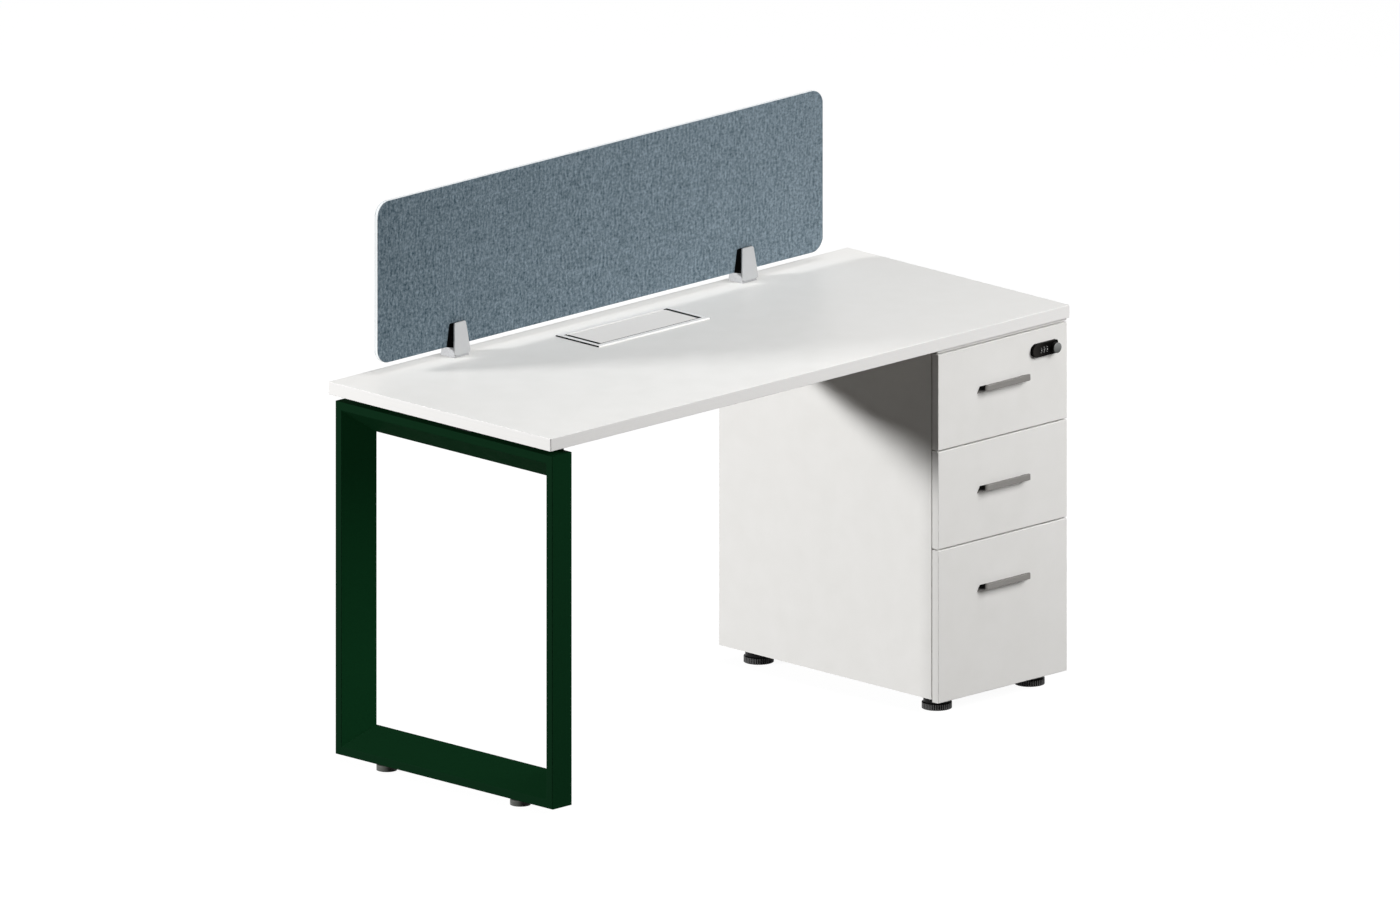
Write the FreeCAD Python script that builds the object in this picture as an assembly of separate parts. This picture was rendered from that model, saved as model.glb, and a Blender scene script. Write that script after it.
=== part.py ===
import FreeCAD, Part
import math
import os

# Office workstation: a desk on one loop leg and one drawer pedestal, with a fabric screen
# and a flip-top power box. Millimetres, +Z up, +X along the desk, front towards -Y.
# The origin lies on the floor, under the middle of the whole object's box.

Vector = FreeCAD.Vector
overrun = 2.0                   # how far a cutting tool runs past the face it cuts
touch_distance = 0.002          # closer than this counts as at one place
straight_share = 0.9998         # how much of an edge runs along an axis if it is parallel to it

# Desktop
desk_length = 1400.0
desk_depth = 600.0
desk_height = 750.0
board_thickness = 25.0
edge_band_thickness = 2.0
edge_band_radius = 1.0          # along the upper and lower edges
desk_corner_radius = 2.5

# Loop leg of bevelled tube
leg_end_inset = 12.0            # from the desk's end to the leg's outer face
leg_edge_inset = 7.5            # from the desk's front and back edges
leg_profile_depth = 53.0        # along X
leg_outer_face = 16.0           # width of the tube on the outside of the loop
leg_inner_face = 61.0           # width of the tube on the knee side
leg_wall = 2.0
leg_edge_radius = 1.5
leg_ground_gap = 14.9
leg_desk_gap = 13.5
leg_foot_inset = 112.5          # from the loop's front and back to a foot's middle
leg_foot_diameter = 40.0
leg_foot_pad_height = 11.0
leg_foot_edge_radius = 2.0
leg_foot_neck_diameter = 17.0

# Threaded studs of all the feet, and the inserts that take them
stud_diameter = 10.0
stud_clearance = 0.05
stud_engagement = 15.0
foot_running_gap = 0.4
insert_diameter = 14.0
insert_clearance = 0.05
insert_flange_diameter = 20.0
insert_flange_thickness = 1.5

# Angle brackets and the support beam under the board
bracket_width = 60.0
bracket_reach = 40.0
bracket_drop = 46.0
bracket_thickness = 3.0
bracket_inset = 55.0            # from the loop's front and back to a bracket's middle
bracket_screw_spacing = 30.0
beam_from_front = 266.5
beam_width = 43.0
beam_wall = 1.5
beam_setback = 18.0             # from the leg's outer face to the beam's end
beam_plate_thickness = 3.0
beam_plate_drop = 48.0

# Screws that hold the board
screw_shank_diameter = 5.0
screw_head_diameter = 10.5
screw_head_height = 3.0
screw_depth_in_board = 14.0
screw_clearance = 0.1
pedestal_screw_inset = 60.0

# Pedestal carcass
pedestal_width = 347.0
pedestal_end_inset = 3.5        # from the desk's end
pedestal_back_inset = 4.5
pedestal_ground_gap = 32.6
panel_thickness = 16.0
top_panel_thickness = 18.0
top_lip_setback = 1.5           # from the drawer fronts' face to the top panel's front lip
pedestal_foot_left_inset = 55.0
pedestal_foot_right_inset = 42.0
pedestal_foot_front_inset = 40.0
pedestal_foot_back_inset = 52.0
pedestal_foot_diameter = 58.0
pedestal_foot_pad_height = 12.0
pedestal_foot_edge_radius = 1.2
collar_diameter = 52.0
foot_rib_count = 40
foot_rib_groove_diameter = 2.4

# Drawer fronts
front_setback = 4.5             # from the desk's front edge
front_thickness = 16.0
front_edge_radius = 1.2
front_running_gap = 3.0         # between a front and the carcass
front_gap = 3.0                 # between two fronts
front_top_gap = 9.0
front_bottom_overhang = 4.4
upper_front_height = 189.0
middle_front_height = 192.0

# Drawer boxes and runners
drawer_side_thickness = 12.0
drawer_bottom_thickness = 6.0
drawer_back_gap = 59.0          # between a box and the back panel
shallow_box_height = 110.0
deep_box_height = 220.0
box_lift = 18.0                 # from a front's lower edge to its box
deep_box_lift = 32.0
runner_gap = 13.0               # between a drawer side and the carcass
runner_height = 42.0
runner_back_setback = 14.0      # from a box's back to its runners' ends
runner_sheet = 1.5
runner_play = 0.5
runner_setback = 3.0
runner_lip = 10.0               # how far a cabinet member's flanges reach

# Bow handles
handle_projection = 19.0
handle_length = 117.0
handle_bar_height = 11.5
handle_bar_depth = 6.0
handle_end_radius = 4.5
handle_edge_radius = 0.8
handle_leg_width = 10.0
handle_foot_upper_flare = 3.0   # how far a foot's upper outer corner lies outside the bar's end
handle_foot_lower_flare = 11.0
handle_foot_upper_drop = 4.5    # how far a foot's upper edge lies under the bar's
handle_foot_lower_drop = 6.0
upper_handle_drop = 84.0        # from a front's upper edge to the bar's middle
lower_handle_drop = 88.5

# Combination lock
lock_drop = 40.0
lock_end_inset = 41.5           # from the front's right edge to the knob's axis
lock_length = 67.5
lock_right_reach = 10.0         # from the knob's axis to the right end
lock_height = 26.0
lock_proud = 8.0
lock_edge_radius = 1.5
lock_corner_radius = 3.0
lock_housing_height = 22.0
lock_housing_margin = 6.0
lock_housing_reach = 8.0        # behind the drawer front
lock_cutout_clearance = 0.5
knob_diameter = 20.5
knob_height = 8.7
knob_edge_radius = 1.0
knob_running_gap = 0.3
knob_shaft_diameter = 8.0
knob_shaft_clearance = 0.05
knob_shaft_end = 2.0
cam_length = 40.0
cam_width = 14.0
cam_thickness = 3.0
cam_pocket_clearance = 2.0
dial_count = 3
dial_diameter = 18.0
dial_thickness = 6.0
dial_pitch = 7.7
dial_first_offset = 20.6        # from the knob's axis to the nearest dial
dial_proud = 1.5
dial_running_gap = 0.4
dial_axle_diameter = 4.0
dial_axle_clearance = 0.08
dial_notch_count = 10
dial_notch_diameter = 1.6

# Power box in the board
power_length = 300.0
power_depth = 117.0
power_back_inset = 70.6
power_offset = 7.5              # from the desk's middle to the box's, towards the leg
bezel_proud = 2.5
bezel_rim = 11.5
bezel_lip = 8.0                 # how far the bezel overlaps the board
bezel_edge_chamfer = 0.8
cutout_clearance = 1.0
lid_thickness = 3.0
lid_end_gap = 3.0
lid_front_gap = 1.5
lid_back_gap = 1.0
lid_sink = 0.2
lid_barrel_diameter = 8.0
lid_pin_diameter = 4.0
lid_pin_clearance = 0.05
lid_pin_engagement = 3.0
lid_pin_end_gap = 0.2
tub_depth = 45.0
tub_wall = 2.0
socket_bar_margin = 28.0
socket_bar_side_gap = 16.0
socket_bar_height = 22.0
socket_count = 3
socket_diameter = 38.0
socket_recess = 12.0
socket_slot_spacing = 13.0
socket_slot_width = 6.0
socket_slot_height = 2.6
socket_slot_depth = 6.0
gland_diameter = 20.0
gland_bore = 9.0
gland_length = 10.0

# Screen and its two clamps
screen_length = 1200.0
screen_height = 318.6
screen_gap = 20.0               # between the board and the screen
screen_from_back = 34.0         # from the desk's back edge to the screen's front face
screen_core_thickness = 6.5
screen_fabric_thickness = 1.0
screen_corner_radius = 29.0
clamp_spacing = 775.5
clamp_height = 67.0
clamp_cover_lift = 5.0          # from the board to a cover's lower edge
clamp_base_width = 45.0         # at the board
clamp_top_width = 30.0
clamp_base_reach = 17.5         # in front of the screen, at the board
clamp_top_reach = 10.0
clamp_cover_thickness = 3.0
clamp_corner_radius = 6.0       # at a cover's lower edge
clamp_top_radius = 4.0
clamp_pad_inset = 1.0
clamp_pad_radius = 3.0
clamp_pad_base_flare = 7.8      # how far a pad is wider on the screen than on its cover, each side
clamp_pad_top_flare = 5.0
clamp_body_inset = 1.5
clamp_back_depth = 15.5
clamp_back_height = 52.0
clamp_back_taper = 8.0
clamp_edge_radius = 2.0

# Levels and lines that the pieces share
handle_overhang = handle_projection - front_setback
desk_front = -(desk_depth - handle_overhang) / 2
desk_back = desk_front + desk_depth
desk_left = -desk_length / 2
desk_right = desk_length / 2
board_bottom = desk_height - board_thickness
board_screw_tip = board_bottom + screw_depth_in_board

leg_outer_x = desk_left + leg_end_inset
leg_inner_x = leg_outer_x + leg_profile_depth
leg_front = desk_front + leg_edge_inset
leg_back = desk_back - leg_edge_inset
leg_bottom = leg_ground_gap
leg_top = board_bottom - leg_desk_gap
leg_foot_x = leg_outer_x + leg_profile_depth / 2
leg_foot_places = {"front": leg_front + leg_foot_inset, "back": leg_back - leg_foot_inset}
bracket_places = (leg_front + bracket_inset, leg_back - bracket_inset)

pedestal_right = desk_right - pedestal_end_inset
pedestal_left = pedestal_right - pedestal_width
pedestal_middle = (pedestal_left + pedestal_right) / 2
inner_left = pedestal_left + panel_thickness
inner_right = pedestal_right - panel_thickness
front_face = desk_front + front_setback
front_back = front_face + front_thickness
carcass_front = front_back + front_running_gap
carcass_back = desk_back - pedestal_back_inset
carcass_bottom = pedestal_ground_gap
top_panel_bottom = board_bottom - top_panel_thickness
beam_middle = desk_front + beam_from_front

# Drawers from the top down: each front's lower edge and height, and its box
upper_front_bottom = board_bottom - front_top_gap - upper_front_height
middle_front_bottom = upper_front_bottom - front_gap - middle_front_height
lower_front_bottom = carcass_bottom - front_bottom_overhang
lower_front_height = middle_front_bottom - front_gap - lower_front_bottom
shallow_box = (box_lift, shallow_box_height)
deep_box = (deep_box_lift, deep_box_height)
drawers = {
    "upper": (upper_front_bottom, upper_front_height, *shallow_box, upper_handle_drop),
    "middle": (middle_front_bottom, middle_front_height, *shallow_box, lower_handle_drop),
    "lower": (lower_front_bottom, lower_front_height, *deep_box, lower_handle_drop),
}
drawer_left = inner_left + runner_gap
drawer_right = inner_right - runner_gap
drawer_back = carcass_back - panel_thickness - drawer_back_gap
runner_span = (carcass_front + runner_setback, drawer_back - runner_back_setback)
middle_web = runner_sheet + runner_play
inner_flange_end = 2 * middle_web
nest_step = 2 * middle_web      # how much lower each channel is than the one round it

lock_axis_x = pedestal_right - lock_end_inset
lock_axis_z = upper_front_bottom + upper_front_height - lock_drop
lock_face = front_face - lock_proud
lock_back = front_back + lock_housing_reach
lock_right = lock_axis_x + lock_right_reach
lock_far_x = lock_right - lock_length + lock_height / 2
cam_front = lock_back + knob_running_gap
cam_back = cam_front + cam_thickness
dial_places = [lock_axis_x - dial_first_offset - dial_pitch * turn for turn in range(dial_count)]
dial_axis_y = lock_face - dial_proud + dial_diameter / 2
lock_housing_span = (
    dial_places[-1] - dial_thickness / 2 - lock_housing_margin,
    lock_axis_x + knob_shaft_diameter / 2 + lock_housing_margin,
)

power_back = desk_back - power_back_inset
power_front = power_back - power_depth
power_middle = (power_front + power_back) / 2
power_x = (desk_left + desk_right) / 2 - power_offset
bezel_top = desk_height + bezel_proud
opening_length = power_length - 2 * bezel_rim
opening_front = power_front + bezel_rim
opening_back = power_back - bezel_rim
skirt_length = power_length - 2 * bezel_lip
skirt_depth = power_depth - 2 * bezel_lip
lid_top = bezel_top - lid_sink
lid_back = opening_back - lid_back_gap
lid_front = opening_front + lid_front_gap
lid_length = opening_length - 2 * lid_end_gap
hinge_y = lid_back - lid_barrel_diameter / 2
hinge_z = lid_top - lid_barrel_diameter / 2
tub_bottom = board_bottom - tub_depth
tub_floor = tub_bottom + tub_wall

screen_front = desk_back - screen_from_back
core_front = screen_front + screen_fabric_thickness
core_back = core_front + screen_core_thickness
screen_back = core_back + screen_fabric_thickness
screen_bottom = desk_height + screen_gap
screen_span = (-screen_length / 2, screen_length / 2)
clamp_places = (-clamp_spacing / 2, clamp_spacing / 2)


def around(middle, width):
    """Span of a width about its middle."""
    return (middle - width / 2, middle + width / 2)


def block(x_span, y_span, z_span):
    """Box between the ends of three spans."""
    corner = Vector(x_span[0], y_span[0], z_span[0])
    return Part.makeBox(x_span[1] - x_span[0], y_span[1] - y_span[0], z_span[1] - z_span[0], corner)


def round_bar(start, end, diameter):
    """Cylinder from one point to another."""
    run = end.sub(start)
    return Part.makeCylinder(diameter / 2, run.Length, start, run)


def upright(x, y, z_span, diameter):
    """Standing cylinder."""
    return round_bar(Vector(x, y, z_span[0]), Vector(x, y, z_span[1]), diameter)


def edges_along(shape, axis):
    """Straight edges of a shape that run along an axis."""
    found = []
    for edge in shape.Edges:
        run = edge.Vertexes[-1].Point.sub(edge.Vertexes[0].Point)
        if run.Length > 0 and abs(run.normalize().dot(axis)) > straight_share:
            found.append(edge)
    return found


def edges_at(shape, axis, place):
    """Edges of a shape that lie wholly at one place along an axis."""
    return [
        edge for edge in shape.Edges
        if all(abs(corner.Point.dot(axis) - place) < touch_distance for corner in edge.Vertexes)
    ]


def edges_at_both(shape, along, axis, place):
    """Straight edges of a shape that run along one axis, at one place along another."""
    return [
        edge for edge in edges_along(shape, along)
        if abs(edge.CenterOfMass.dot(axis) - place) < touch_distance
    ]


def join(shapes):
    """One solid from shapes that touch or overlap."""
    return shapes[0].fuse(shapes[1:]).removeSplitter()


def span_between(first, second):
    """Solid between two outlines with matching corners; a twisted side becomes two triangles."""
    across = second[0].sub(first[0])
    turn = first[1].sub(first[0]).cross(first[-1].sub(first[0]))
    if turn.dot(across) > 0:
        first, second = second, first
    corners = len(first)
    faces = [Part.Face(Part.makePolygon(outline + outline[:1])) for outline in (first, second)]
    for here in range(corners):
        after = (here + 1) % corners
        ring = [first[here], first[after], second[after], second[here]]
        twist = (ring[1] - ring[0]).cross(ring[2] - ring[0]).dot(ring[3] - ring[0])
        flat = abs(twist) < touch_distance
        for side in [ring] if flat else [ring[:3], ring[2:] + ring[:1]]:
            faces.append(Part.Face(Part.makePolygon(side + side[:1])))
    return Part.makeSolid(Part.makeShell(faces))


x_axis = Vector(1, 0, 0)
y_axis = Vector(0, 1, 0)
z_axis = Vector(0, 0, 1)


# Desktop
def desktop_outline(inset, z_span):
    """Slab of the desk's outline, drawn in by an inset, with rounded corners."""
    slab = block(
        (desk_left + inset, desk_right - inset), (desk_front + inset, desk_back - inset), z_span
    )
    return slab.makeFillet(desk_corner_radius - inset, edges_along(slab, z_axis))


def board_screw_places():
    """Middle and seat height of every screw that goes up into the board."""
    bracket_x = leg_inner_x + (bracket_thickness + bracket_reach) / 2
    seat = board_bottom - bracket_thickness
    places = []
    for middle in bracket_places:
        places.append((bracket_x, middle - bracket_screw_spacing / 2, seat))
        places.append((bracket_x, middle + bracket_screw_spacing / 2, seat))
    for x in (inner_left + pedestal_screw_inset, inner_right - pedestal_screw_inset):
        for y in (carcass_front + pedestal_screw_inset, carcass_back - pedestal_screw_inset):
            places.append((x, y, top_panel_bottom))
    return places


def clamp_screw(middle, clearance):
    """Screw down through a clamp's foot into the board, its head sunk in the foot; or its hole."""
    y = (screen_front + screen_back) / 2
    seat = screen_bottom - screw_head_height - screw_clearance
    tip = desk_height - screw_depth_in_board - clearance
    head_top = screen_bottom + overrun if clearance else seat + screw_head_height
    head = upright(middle, y, (seat, head_top), screw_head_diameter + 2 * clearance)
    shank = upright(middle, y, (tip, seat), screw_shank_diameter + 2 * clearance)
    return join([head, shank])


def screw_holes():
    """Clearance holes for every screw, one tool for the board, plates, panels and clamps."""
    diameter = screw_shank_diameter + 2 * screw_clearance
    tools = [clamp_screw(middle, screw_clearance) for middle in clamp_places]
    for x, y, seat in board_screw_places():
        tip = board_screw_tip + screw_clearance
        tools.append(upright(x, y, (seat - overrun, tip), diameter))
    return Part.makeCompound(tools)


def fixing_screws():
    """Screws up into the board and down through the clamps, each a head and a plain shank."""
    screws = [clamp_screw(middle, 0) for middle in clamp_places]
    for x, y, seat in board_screw_places():
        head = upright(x, y, (seat - screw_head_height, seat), screw_head_diameter)
        shank = upright(x, y, (seat, board_screw_tip), screw_shank_diameter)
        screws.append(join([head, shank]))
    return Part.makeCompound(screws)


def desktop_board():
    """Board inside its edge band, with the power box's cut-out and the screw holes."""
    board = desktop_outline(edge_band_thickness, (board_bottom, desk_height))
    cutout = block(
        around(power_x, skirt_length + 2 * cutout_clearance),
        around(power_middle, skirt_depth + 2 * cutout_clearance),
        (board_bottom - overrun, desk_height + overrun),
    )
    return board.cut(cutout).cut(screw_holes())


def desktop_edge_band():
    """Band glued round the board's four edges, its outer edges softened."""
    outside = desktop_outline(0, (board_bottom, desk_height))
    for level in (board_bottom, desk_height):
        outside = outside.makeFillet(edge_band_radius, edges_at(outside, z_axis, level))
    inside = desktop_outline(edge_band_thickness, (board_bottom - overrun, desk_height + overrun))
    return outside.cut(inside)


# Loop leg
def leg_profile(wall):
    """Corners of the tube's section: distance from the outer face, and in from the loop's outside."""
    slope = (leg_inner_face - leg_outer_face) / leg_profile_depth
    near = wall
    far = leg_profile_depth - wall
    lift = wall * math.hypot(1, slope)
    return [
        (near, wall),
        (far, wall),
        (far, leg_outer_face + slope * far - lift),
        (near, leg_outer_face + slope * near - lift),
    ]


def leg_member(place, length, axis):
    """Hollow tube with both ends mitred, so that four of them close into the loop."""
    def prism(wall):
        ends = []
        for turned in (False, True):
            corners = []
            for depth, inward in leg_profile(wall):
                along = length - inward if turned else inward
                corners.append(place(depth, inward, along))
            ends.append(corners)
        return span_between(*ends)

    outside = prism(0)
    outside = outside.makeFillet(leg_edge_radius, edges_along(outside, axis))
    return outside.cut(prism(leg_wall))


def leg_front_post():
    """Upright of the loop at the front."""
    return leg_member(
        lambda depth, inward, along: Vector(leg_outer_x + depth, leg_front + inward, leg_bottom + along),
        leg_top - leg_bottom, z_axis,
    )


def leg_back_post():
    """Upright of the loop at the back."""
    return leg_member(
        lambda depth, inward, along: Vector(leg_outer_x + depth, leg_back - inward, leg_bottom + along),
        leg_top - leg_bottom, z_axis,
    )


def leg_top_rail():
    """Rail of the loop under the board."""
    return leg_member(
        lambda depth, inward, along: Vector(leg_outer_x + depth, leg_front + along, leg_top - inward),
        leg_back - leg_front, y_axis,
    )


def leg_bottom_rail():
    """Rail of the loop near the floor, bored for its two inserts."""
    rail = leg_member(
        lambda depth, inward, along: Vector(leg_outer_x + depth, leg_front + along, leg_bottom + inward),
        leg_back - leg_front, y_axis,
    )
    bore = insert_diameter + 2 * insert_clearance
    bore_span = (leg_bottom - overrun, leg_bottom + leg_wall + overrun)
    for y in leg_foot_places.values():
        rail = rail.cut(upright(leg_foot_x, y, bore_span, bore))
    return rail


def leg_foot_inserts():
    """Flanged inserts in the bottom rail that take the feet's studs."""
    inserts = []
    flange_bottom = leg_bottom + leg_wall
    flange_span = (flange_bottom, flange_bottom + insert_flange_thickness)
    bore_span = (leg_bottom - overrun, leg_bottom + stud_engagement + overrun)
    for y in leg_foot_places.values():
        body = upright(leg_foot_x, y, (leg_bottom, leg_bottom + stud_engagement), insert_diameter)
        flange = upright(leg_foot_x, y, flange_span, insert_flange_diameter)
        bore = upright(leg_foot_x, y, bore_span, stud_diameter + 2 * stud_clearance)
        inserts.append(join([body, flange]).cut(bore))
    return Part.makeCompound(inserts)


def leg_foot(y):
    """Round glide with its neck and stud."""
    pad = upright(leg_foot_x, y, (0, leg_foot_pad_height), leg_foot_diameter)
    pad = pad.makeFillet(leg_foot_edge_radius, edges_at(pad, z_axis, leg_foot_pad_height))
    neck = upright(leg_foot_x, y, (0, leg_bottom - foot_running_gap), leg_foot_neck_diameter)
    stud = upright(leg_foot_x, y, (0, leg_bottom + stud_engagement), stud_diameter)
    return join([pad, neck, stud])


def leg_brackets():
    """Two steel angles that join the top rail's knee side to the board."""
    brackets = []
    for middle in bracket_places:
        plate = block(
            (leg_inner_x, leg_inner_x + bracket_thickness), around(middle, bracket_width),
            (board_bottom - bracket_drop, board_bottom),
        )
        shelf = block(
            (leg_inner_x, leg_inner_x + bracket_reach), around(middle, bracket_width),
            (board_bottom - bracket_thickness, board_bottom),
        )
        brackets.append(join([plate, shelf]).cut(screw_holes()))
    return Part.makeCompound(brackets)


def support_beam():
    """Flat tube under the board, from the top rail to a plate on the pedestal's side."""
    start = leg_outer_x + beam_setback
    tube = block((start, pedestal_left), around(beam_middle, beam_width), (leg_top, board_bottom))
    hollow = block(
        (start - overrun, pedestal_left - beam_plate_thickness),
        around(beam_middle, beam_width - 2 * beam_wall),
        (leg_top + beam_wall, board_bottom - beam_wall),
    )
    plate = block(
        (pedestal_left - beam_plate_thickness, pedestal_left), around(beam_middle, beam_width),
        (board_bottom - beam_plate_drop, board_bottom),
    )
    return join([tube.cut(hollow), plate])


# Pedestal
def pedestal_side(x_span):
    """Side panel from the ground gap to the board."""
    return block(x_span, (carcass_front, carcass_back), (carcass_bottom, board_bottom))


def pedestal_bottom():
    """Floor panel between the sides."""
    return block(
        (inner_left, inner_right), (carcass_front, carcass_back - panel_thickness),
        (carcass_bottom, carcass_bottom + panel_thickness),
    )


def pedestal_back():
    """Back panel between the sides."""
    return block(
        (inner_left, inner_right), (carcass_back - panel_thickness, carcass_back),
        (carcass_bottom, board_bottom),
    )


def pedestal_top():
    """Top panel with a lip over the drawer fronts and the pocket that the lock's cam turns up into."""
    panel = block(
        (inner_left, inner_right), (carcass_front, carcass_back - panel_thickness),
        (top_panel_bottom, board_bottom),
    )
    lip = block(
        (pedestal_left, pedestal_right), (front_face + top_lip_setback, carcass_front),
        (upper_front_bottom + upper_front_height + front_gap, board_bottom),
    )
    reach = math.hypot(cam_length, cam_width / 2) + cam_pocket_clearance
    rise = max(top_panel_bottom - lock_axis_z, 0)
    sweep = math.sqrt(max(reach ** 2 - rise ** 2, 0))
    pocket = block(
        (lock_axis_x - sweep, lock_axis_x + cam_width / 2 + cam_pocket_clearance),
        (cam_front - cam_pocket_clearance, cam_back + cam_pocket_clearance),
        (top_panel_bottom - overrun, lock_axis_z + reach),
    )
    return join([panel, lip]).cut(pocket).cut(screw_holes())


def pedestal_foot_places():
    """Name and middle of each of the pedestal's four feet."""
    rows = {
        "front": carcass_front + pedestal_foot_front_inset,
        "back": carcass_back - pedestal_foot_back_inset,
    }
    sides = {
        "left": pedestal_left + pedestal_foot_left_inset,
        "right": pedestal_right - pedestal_foot_right_inset,
    }
    return {row + "_" + side: (x, y) for row, y in rows.items() for side, x in sides.items()}


def pedestal_foot(x, y):
    """Ribbed turning pad with its stud."""
    pad = upright(0, 0, (0, pedestal_foot_pad_height), pedestal_foot_diameter)
    pad = pad.makeFillet(pedestal_foot_edge_radius, edges_at(pad, z_axis, pedestal_foot_pad_height))
    grooves = []
    rim = pedestal_foot_diameter / 2
    for turn in range(foot_rib_count):
        angle = 2 * math.pi * turn / foot_rib_count
        grooves.append(upright(
            rim * math.cos(angle), rim * math.sin(angle),
            (-overrun, pedestal_foot_pad_height + overrun), foot_rib_groove_diameter,
        ))
    stud = upright(0, 0, (0, pedestal_foot_pad_height + stud_engagement), stud_diameter)
    foot = join([pad.cut(grooves), stud])
    foot.translate(Vector(x, y, 0))
    return foot


def pedestal_foot_collars():
    """Fixed collars under the floor panel that take the feet's studs."""
    collars = []
    bottom = pedestal_foot_pad_height + foot_running_gap
    for x, y in pedestal_foot_places().values():
        collar = upright(x, y, (bottom, carcass_bottom), collar_diameter)
        collar = collar.makeFillet(pedestal_foot_edge_radius, edges_at(collar, z_axis, bottom))
        bore_top = pedestal_foot_pad_height + stud_engagement + foot_running_gap
        bore = upright(x, y, (bottom - overrun, bore_top), stud_diameter + 2 * stud_clearance)
        collars.append(collar.cut(bore))
    return Part.makeCompound(collars)


# Drawers
def drawer_front(name):
    """Front panel with softened face edges; the upper one has the lock's cut-out."""
    bottom, height = drawers[name][:2]
    panel = block((pedestal_left, pedestal_right), (front_face, front_back), (bottom, bottom + height))
    panel = panel.makeFillet(front_edge_radius, edges_at(panel, y_axis, front_face))
    if name == "upper":
        wide = lock_cutout_clearance
        panel = panel.cut(block(
            (lock_housing_span[0] - wide, lock_housing_span[1] + wide),
            (front_face - overrun, front_back + overrun),
            around(lock_axis_z, lock_housing_height + 2 * wide),
        ))
    return panel


def drawer_box_span(name):
    """Lower and upper level of a drawer's box."""
    bottom, height, lift, box_height, drop = drawers[name]
    return (bottom + lift, bottom + lift + box_height)


def drawer_sides(name):
    """The box's two side boards."""
    level = drawer_box_span(name)
    left = block((drawer_left, drawer_left + drawer_side_thickness), (front_back, drawer_back), level)
    right = block((drawer_right - drawer_side_thickness, drawer_right), (front_back, drawer_back), level)
    return Part.makeCompound([left, right])


def drawer_inside():
    """Span between a box's two sides."""
    return (drawer_left + drawer_side_thickness, drawer_right - drawer_side_thickness)


def drawer_back_board(name):
    """The box's back board, between its sides."""
    depth = (drawer_back - drawer_side_thickness, drawer_back)
    return block(drawer_inside(), depth, drawer_box_span(name))


def drawer_bottom(name):
    """The box's floor, between its sides, front and back."""
    floor = drawer_box_span(name)[0]
    depth = (front_back, drawer_back - drawer_side_thickness)
    return block(drawer_inside(), depth, (floor, floor + drawer_bottom_thickness))


def handle(name):
    """Bow handle: a bar with round ends on two legs whose feet flare out and down on the front."""
    bottom, height = drawers[name][:2]
    middle = bottom + height - drawers[name][4]
    half = handle_length / 2
    bar_front = front_face - handle_projection
    bar_back = bar_front + handle_bar_depth
    low, high = around(middle, handle_bar_height)
    bar = block(around(pedestal_middle, handle_length), (bar_front, bar_back), (low, high))
    bar = bar.makeFillet(handle_end_radius, edges_at_both(bar, z_axis, y_axis, bar_front))
    bar = bar.makeFillet(handle_edge_radius, edges_at(bar, y_axis, bar_front))
    pieces = [bar]
    for side in (-1, 1):
        inner = pedestal_middle + side * (half - handle_leg_width)
        outer = pedestal_middle + side * half
        foot_upper = outer + side * handle_foot_upper_flare
        foot_lower = outer + side * handle_foot_lower_flare
        leg_y = bar_back - handle_edge_radius
        leg = [
            Vector(inner, leg_y, low), Vector(outer, leg_y, low),
            Vector(outer, leg_y, high), Vector(inner, leg_y, high),
        ]
        foot = [
            Vector(inner, front_face, low - handle_foot_lower_drop),
            Vector(foot_lower, front_face, low - handle_foot_lower_drop),
            Vector(foot_upper, front_face, high - handle_foot_upper_drop),
            Vector(inner, front_face, high - handle_foot_upper_drop),
        ]
        pieces.append(span_between(leg, foot))
    return join(pieces)


# Runners: three nested channels on each side of a drawer
def channel(wall_x, towards, web_start, flange_end, height, level):
    """Channel along Y: a web and two flanges, at distances from a carcass wall."""
    def span(start, end):
        ends = (wall_x + towards * start, wall_x + towards * end)
        return (min(ends), max(ends))

    low = level - height / 2
    high = level + height / 2
    near, far = sorted((web_start, flange_end))
    outside = block(span(near, far), runner_span, (low, high))
    if web_start < flange_end:
        open_span = span(near + runner_sheet, far + overrun)
    else:
        open_span = span(near - overrun, far - runner_sheet)
    inside_y = (runner_span[0] - overrun, runner_span[1] + overrun)
    return outside.cut(block(open_span, inside_y, (low + runner_sheet, high - runner_sheet)))


def runner_level(name):
    """Height of a drawer's runners."""
    low, high = drawer_box_span(name)
    return (low + high) / 2


def runner_pair(name, web_start, flange_end, height):
    """A channel on each carcass wall."""
    level = runner_level(name)
    return [
        channel(inner_left, 1, web_start, flange_end, height, level),
        channel(inner_right, -1, web_start, flange_end, height, level),
    ]


def runner_cabinet_members():
    """Channels fixed to the carcass, for all three drawers."""
    members = []
    for name in drawers:
        members += runner_pair(name, 0, runner_lip, runner_height)
    return Part.makeCompound(members)


def runner_middle(name):
    """Channels that run between the carcass and a drawer."""
    return Part.makeCompound(runner_pair(name, middle_web, runner_lip, runner_height - nest_step))


def runner_inner(name):
    """Channels fixed to a drawer's sides."""
    height = runner_height - 2 * nest_step
    return Part.makeCompound(runner_pair(name, runner_gap, inner_flange_end, height))


# Combination lock
def lock_plate():
    """Plate of the lock's face, round at the left and square at the right."""
    plate = block((lock_far_x, lock_right), (lock_face, front_face), around(lock_axis_z, lock_height))
    plate = plate.makeFillet(lock_corner_radius, edges_at_both(plate, y_axis, x_axis, lock_right))
    ends = [Vector(lock_far_x, y, lock_axis_z) for y in (lock_face, front_face)]
    plate = join([plate, round_bar(*ends, lock_height)])
    return plate.makeFillet(lock_edge_radius, edges_at(plate, y_axis, lock_face))


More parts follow.
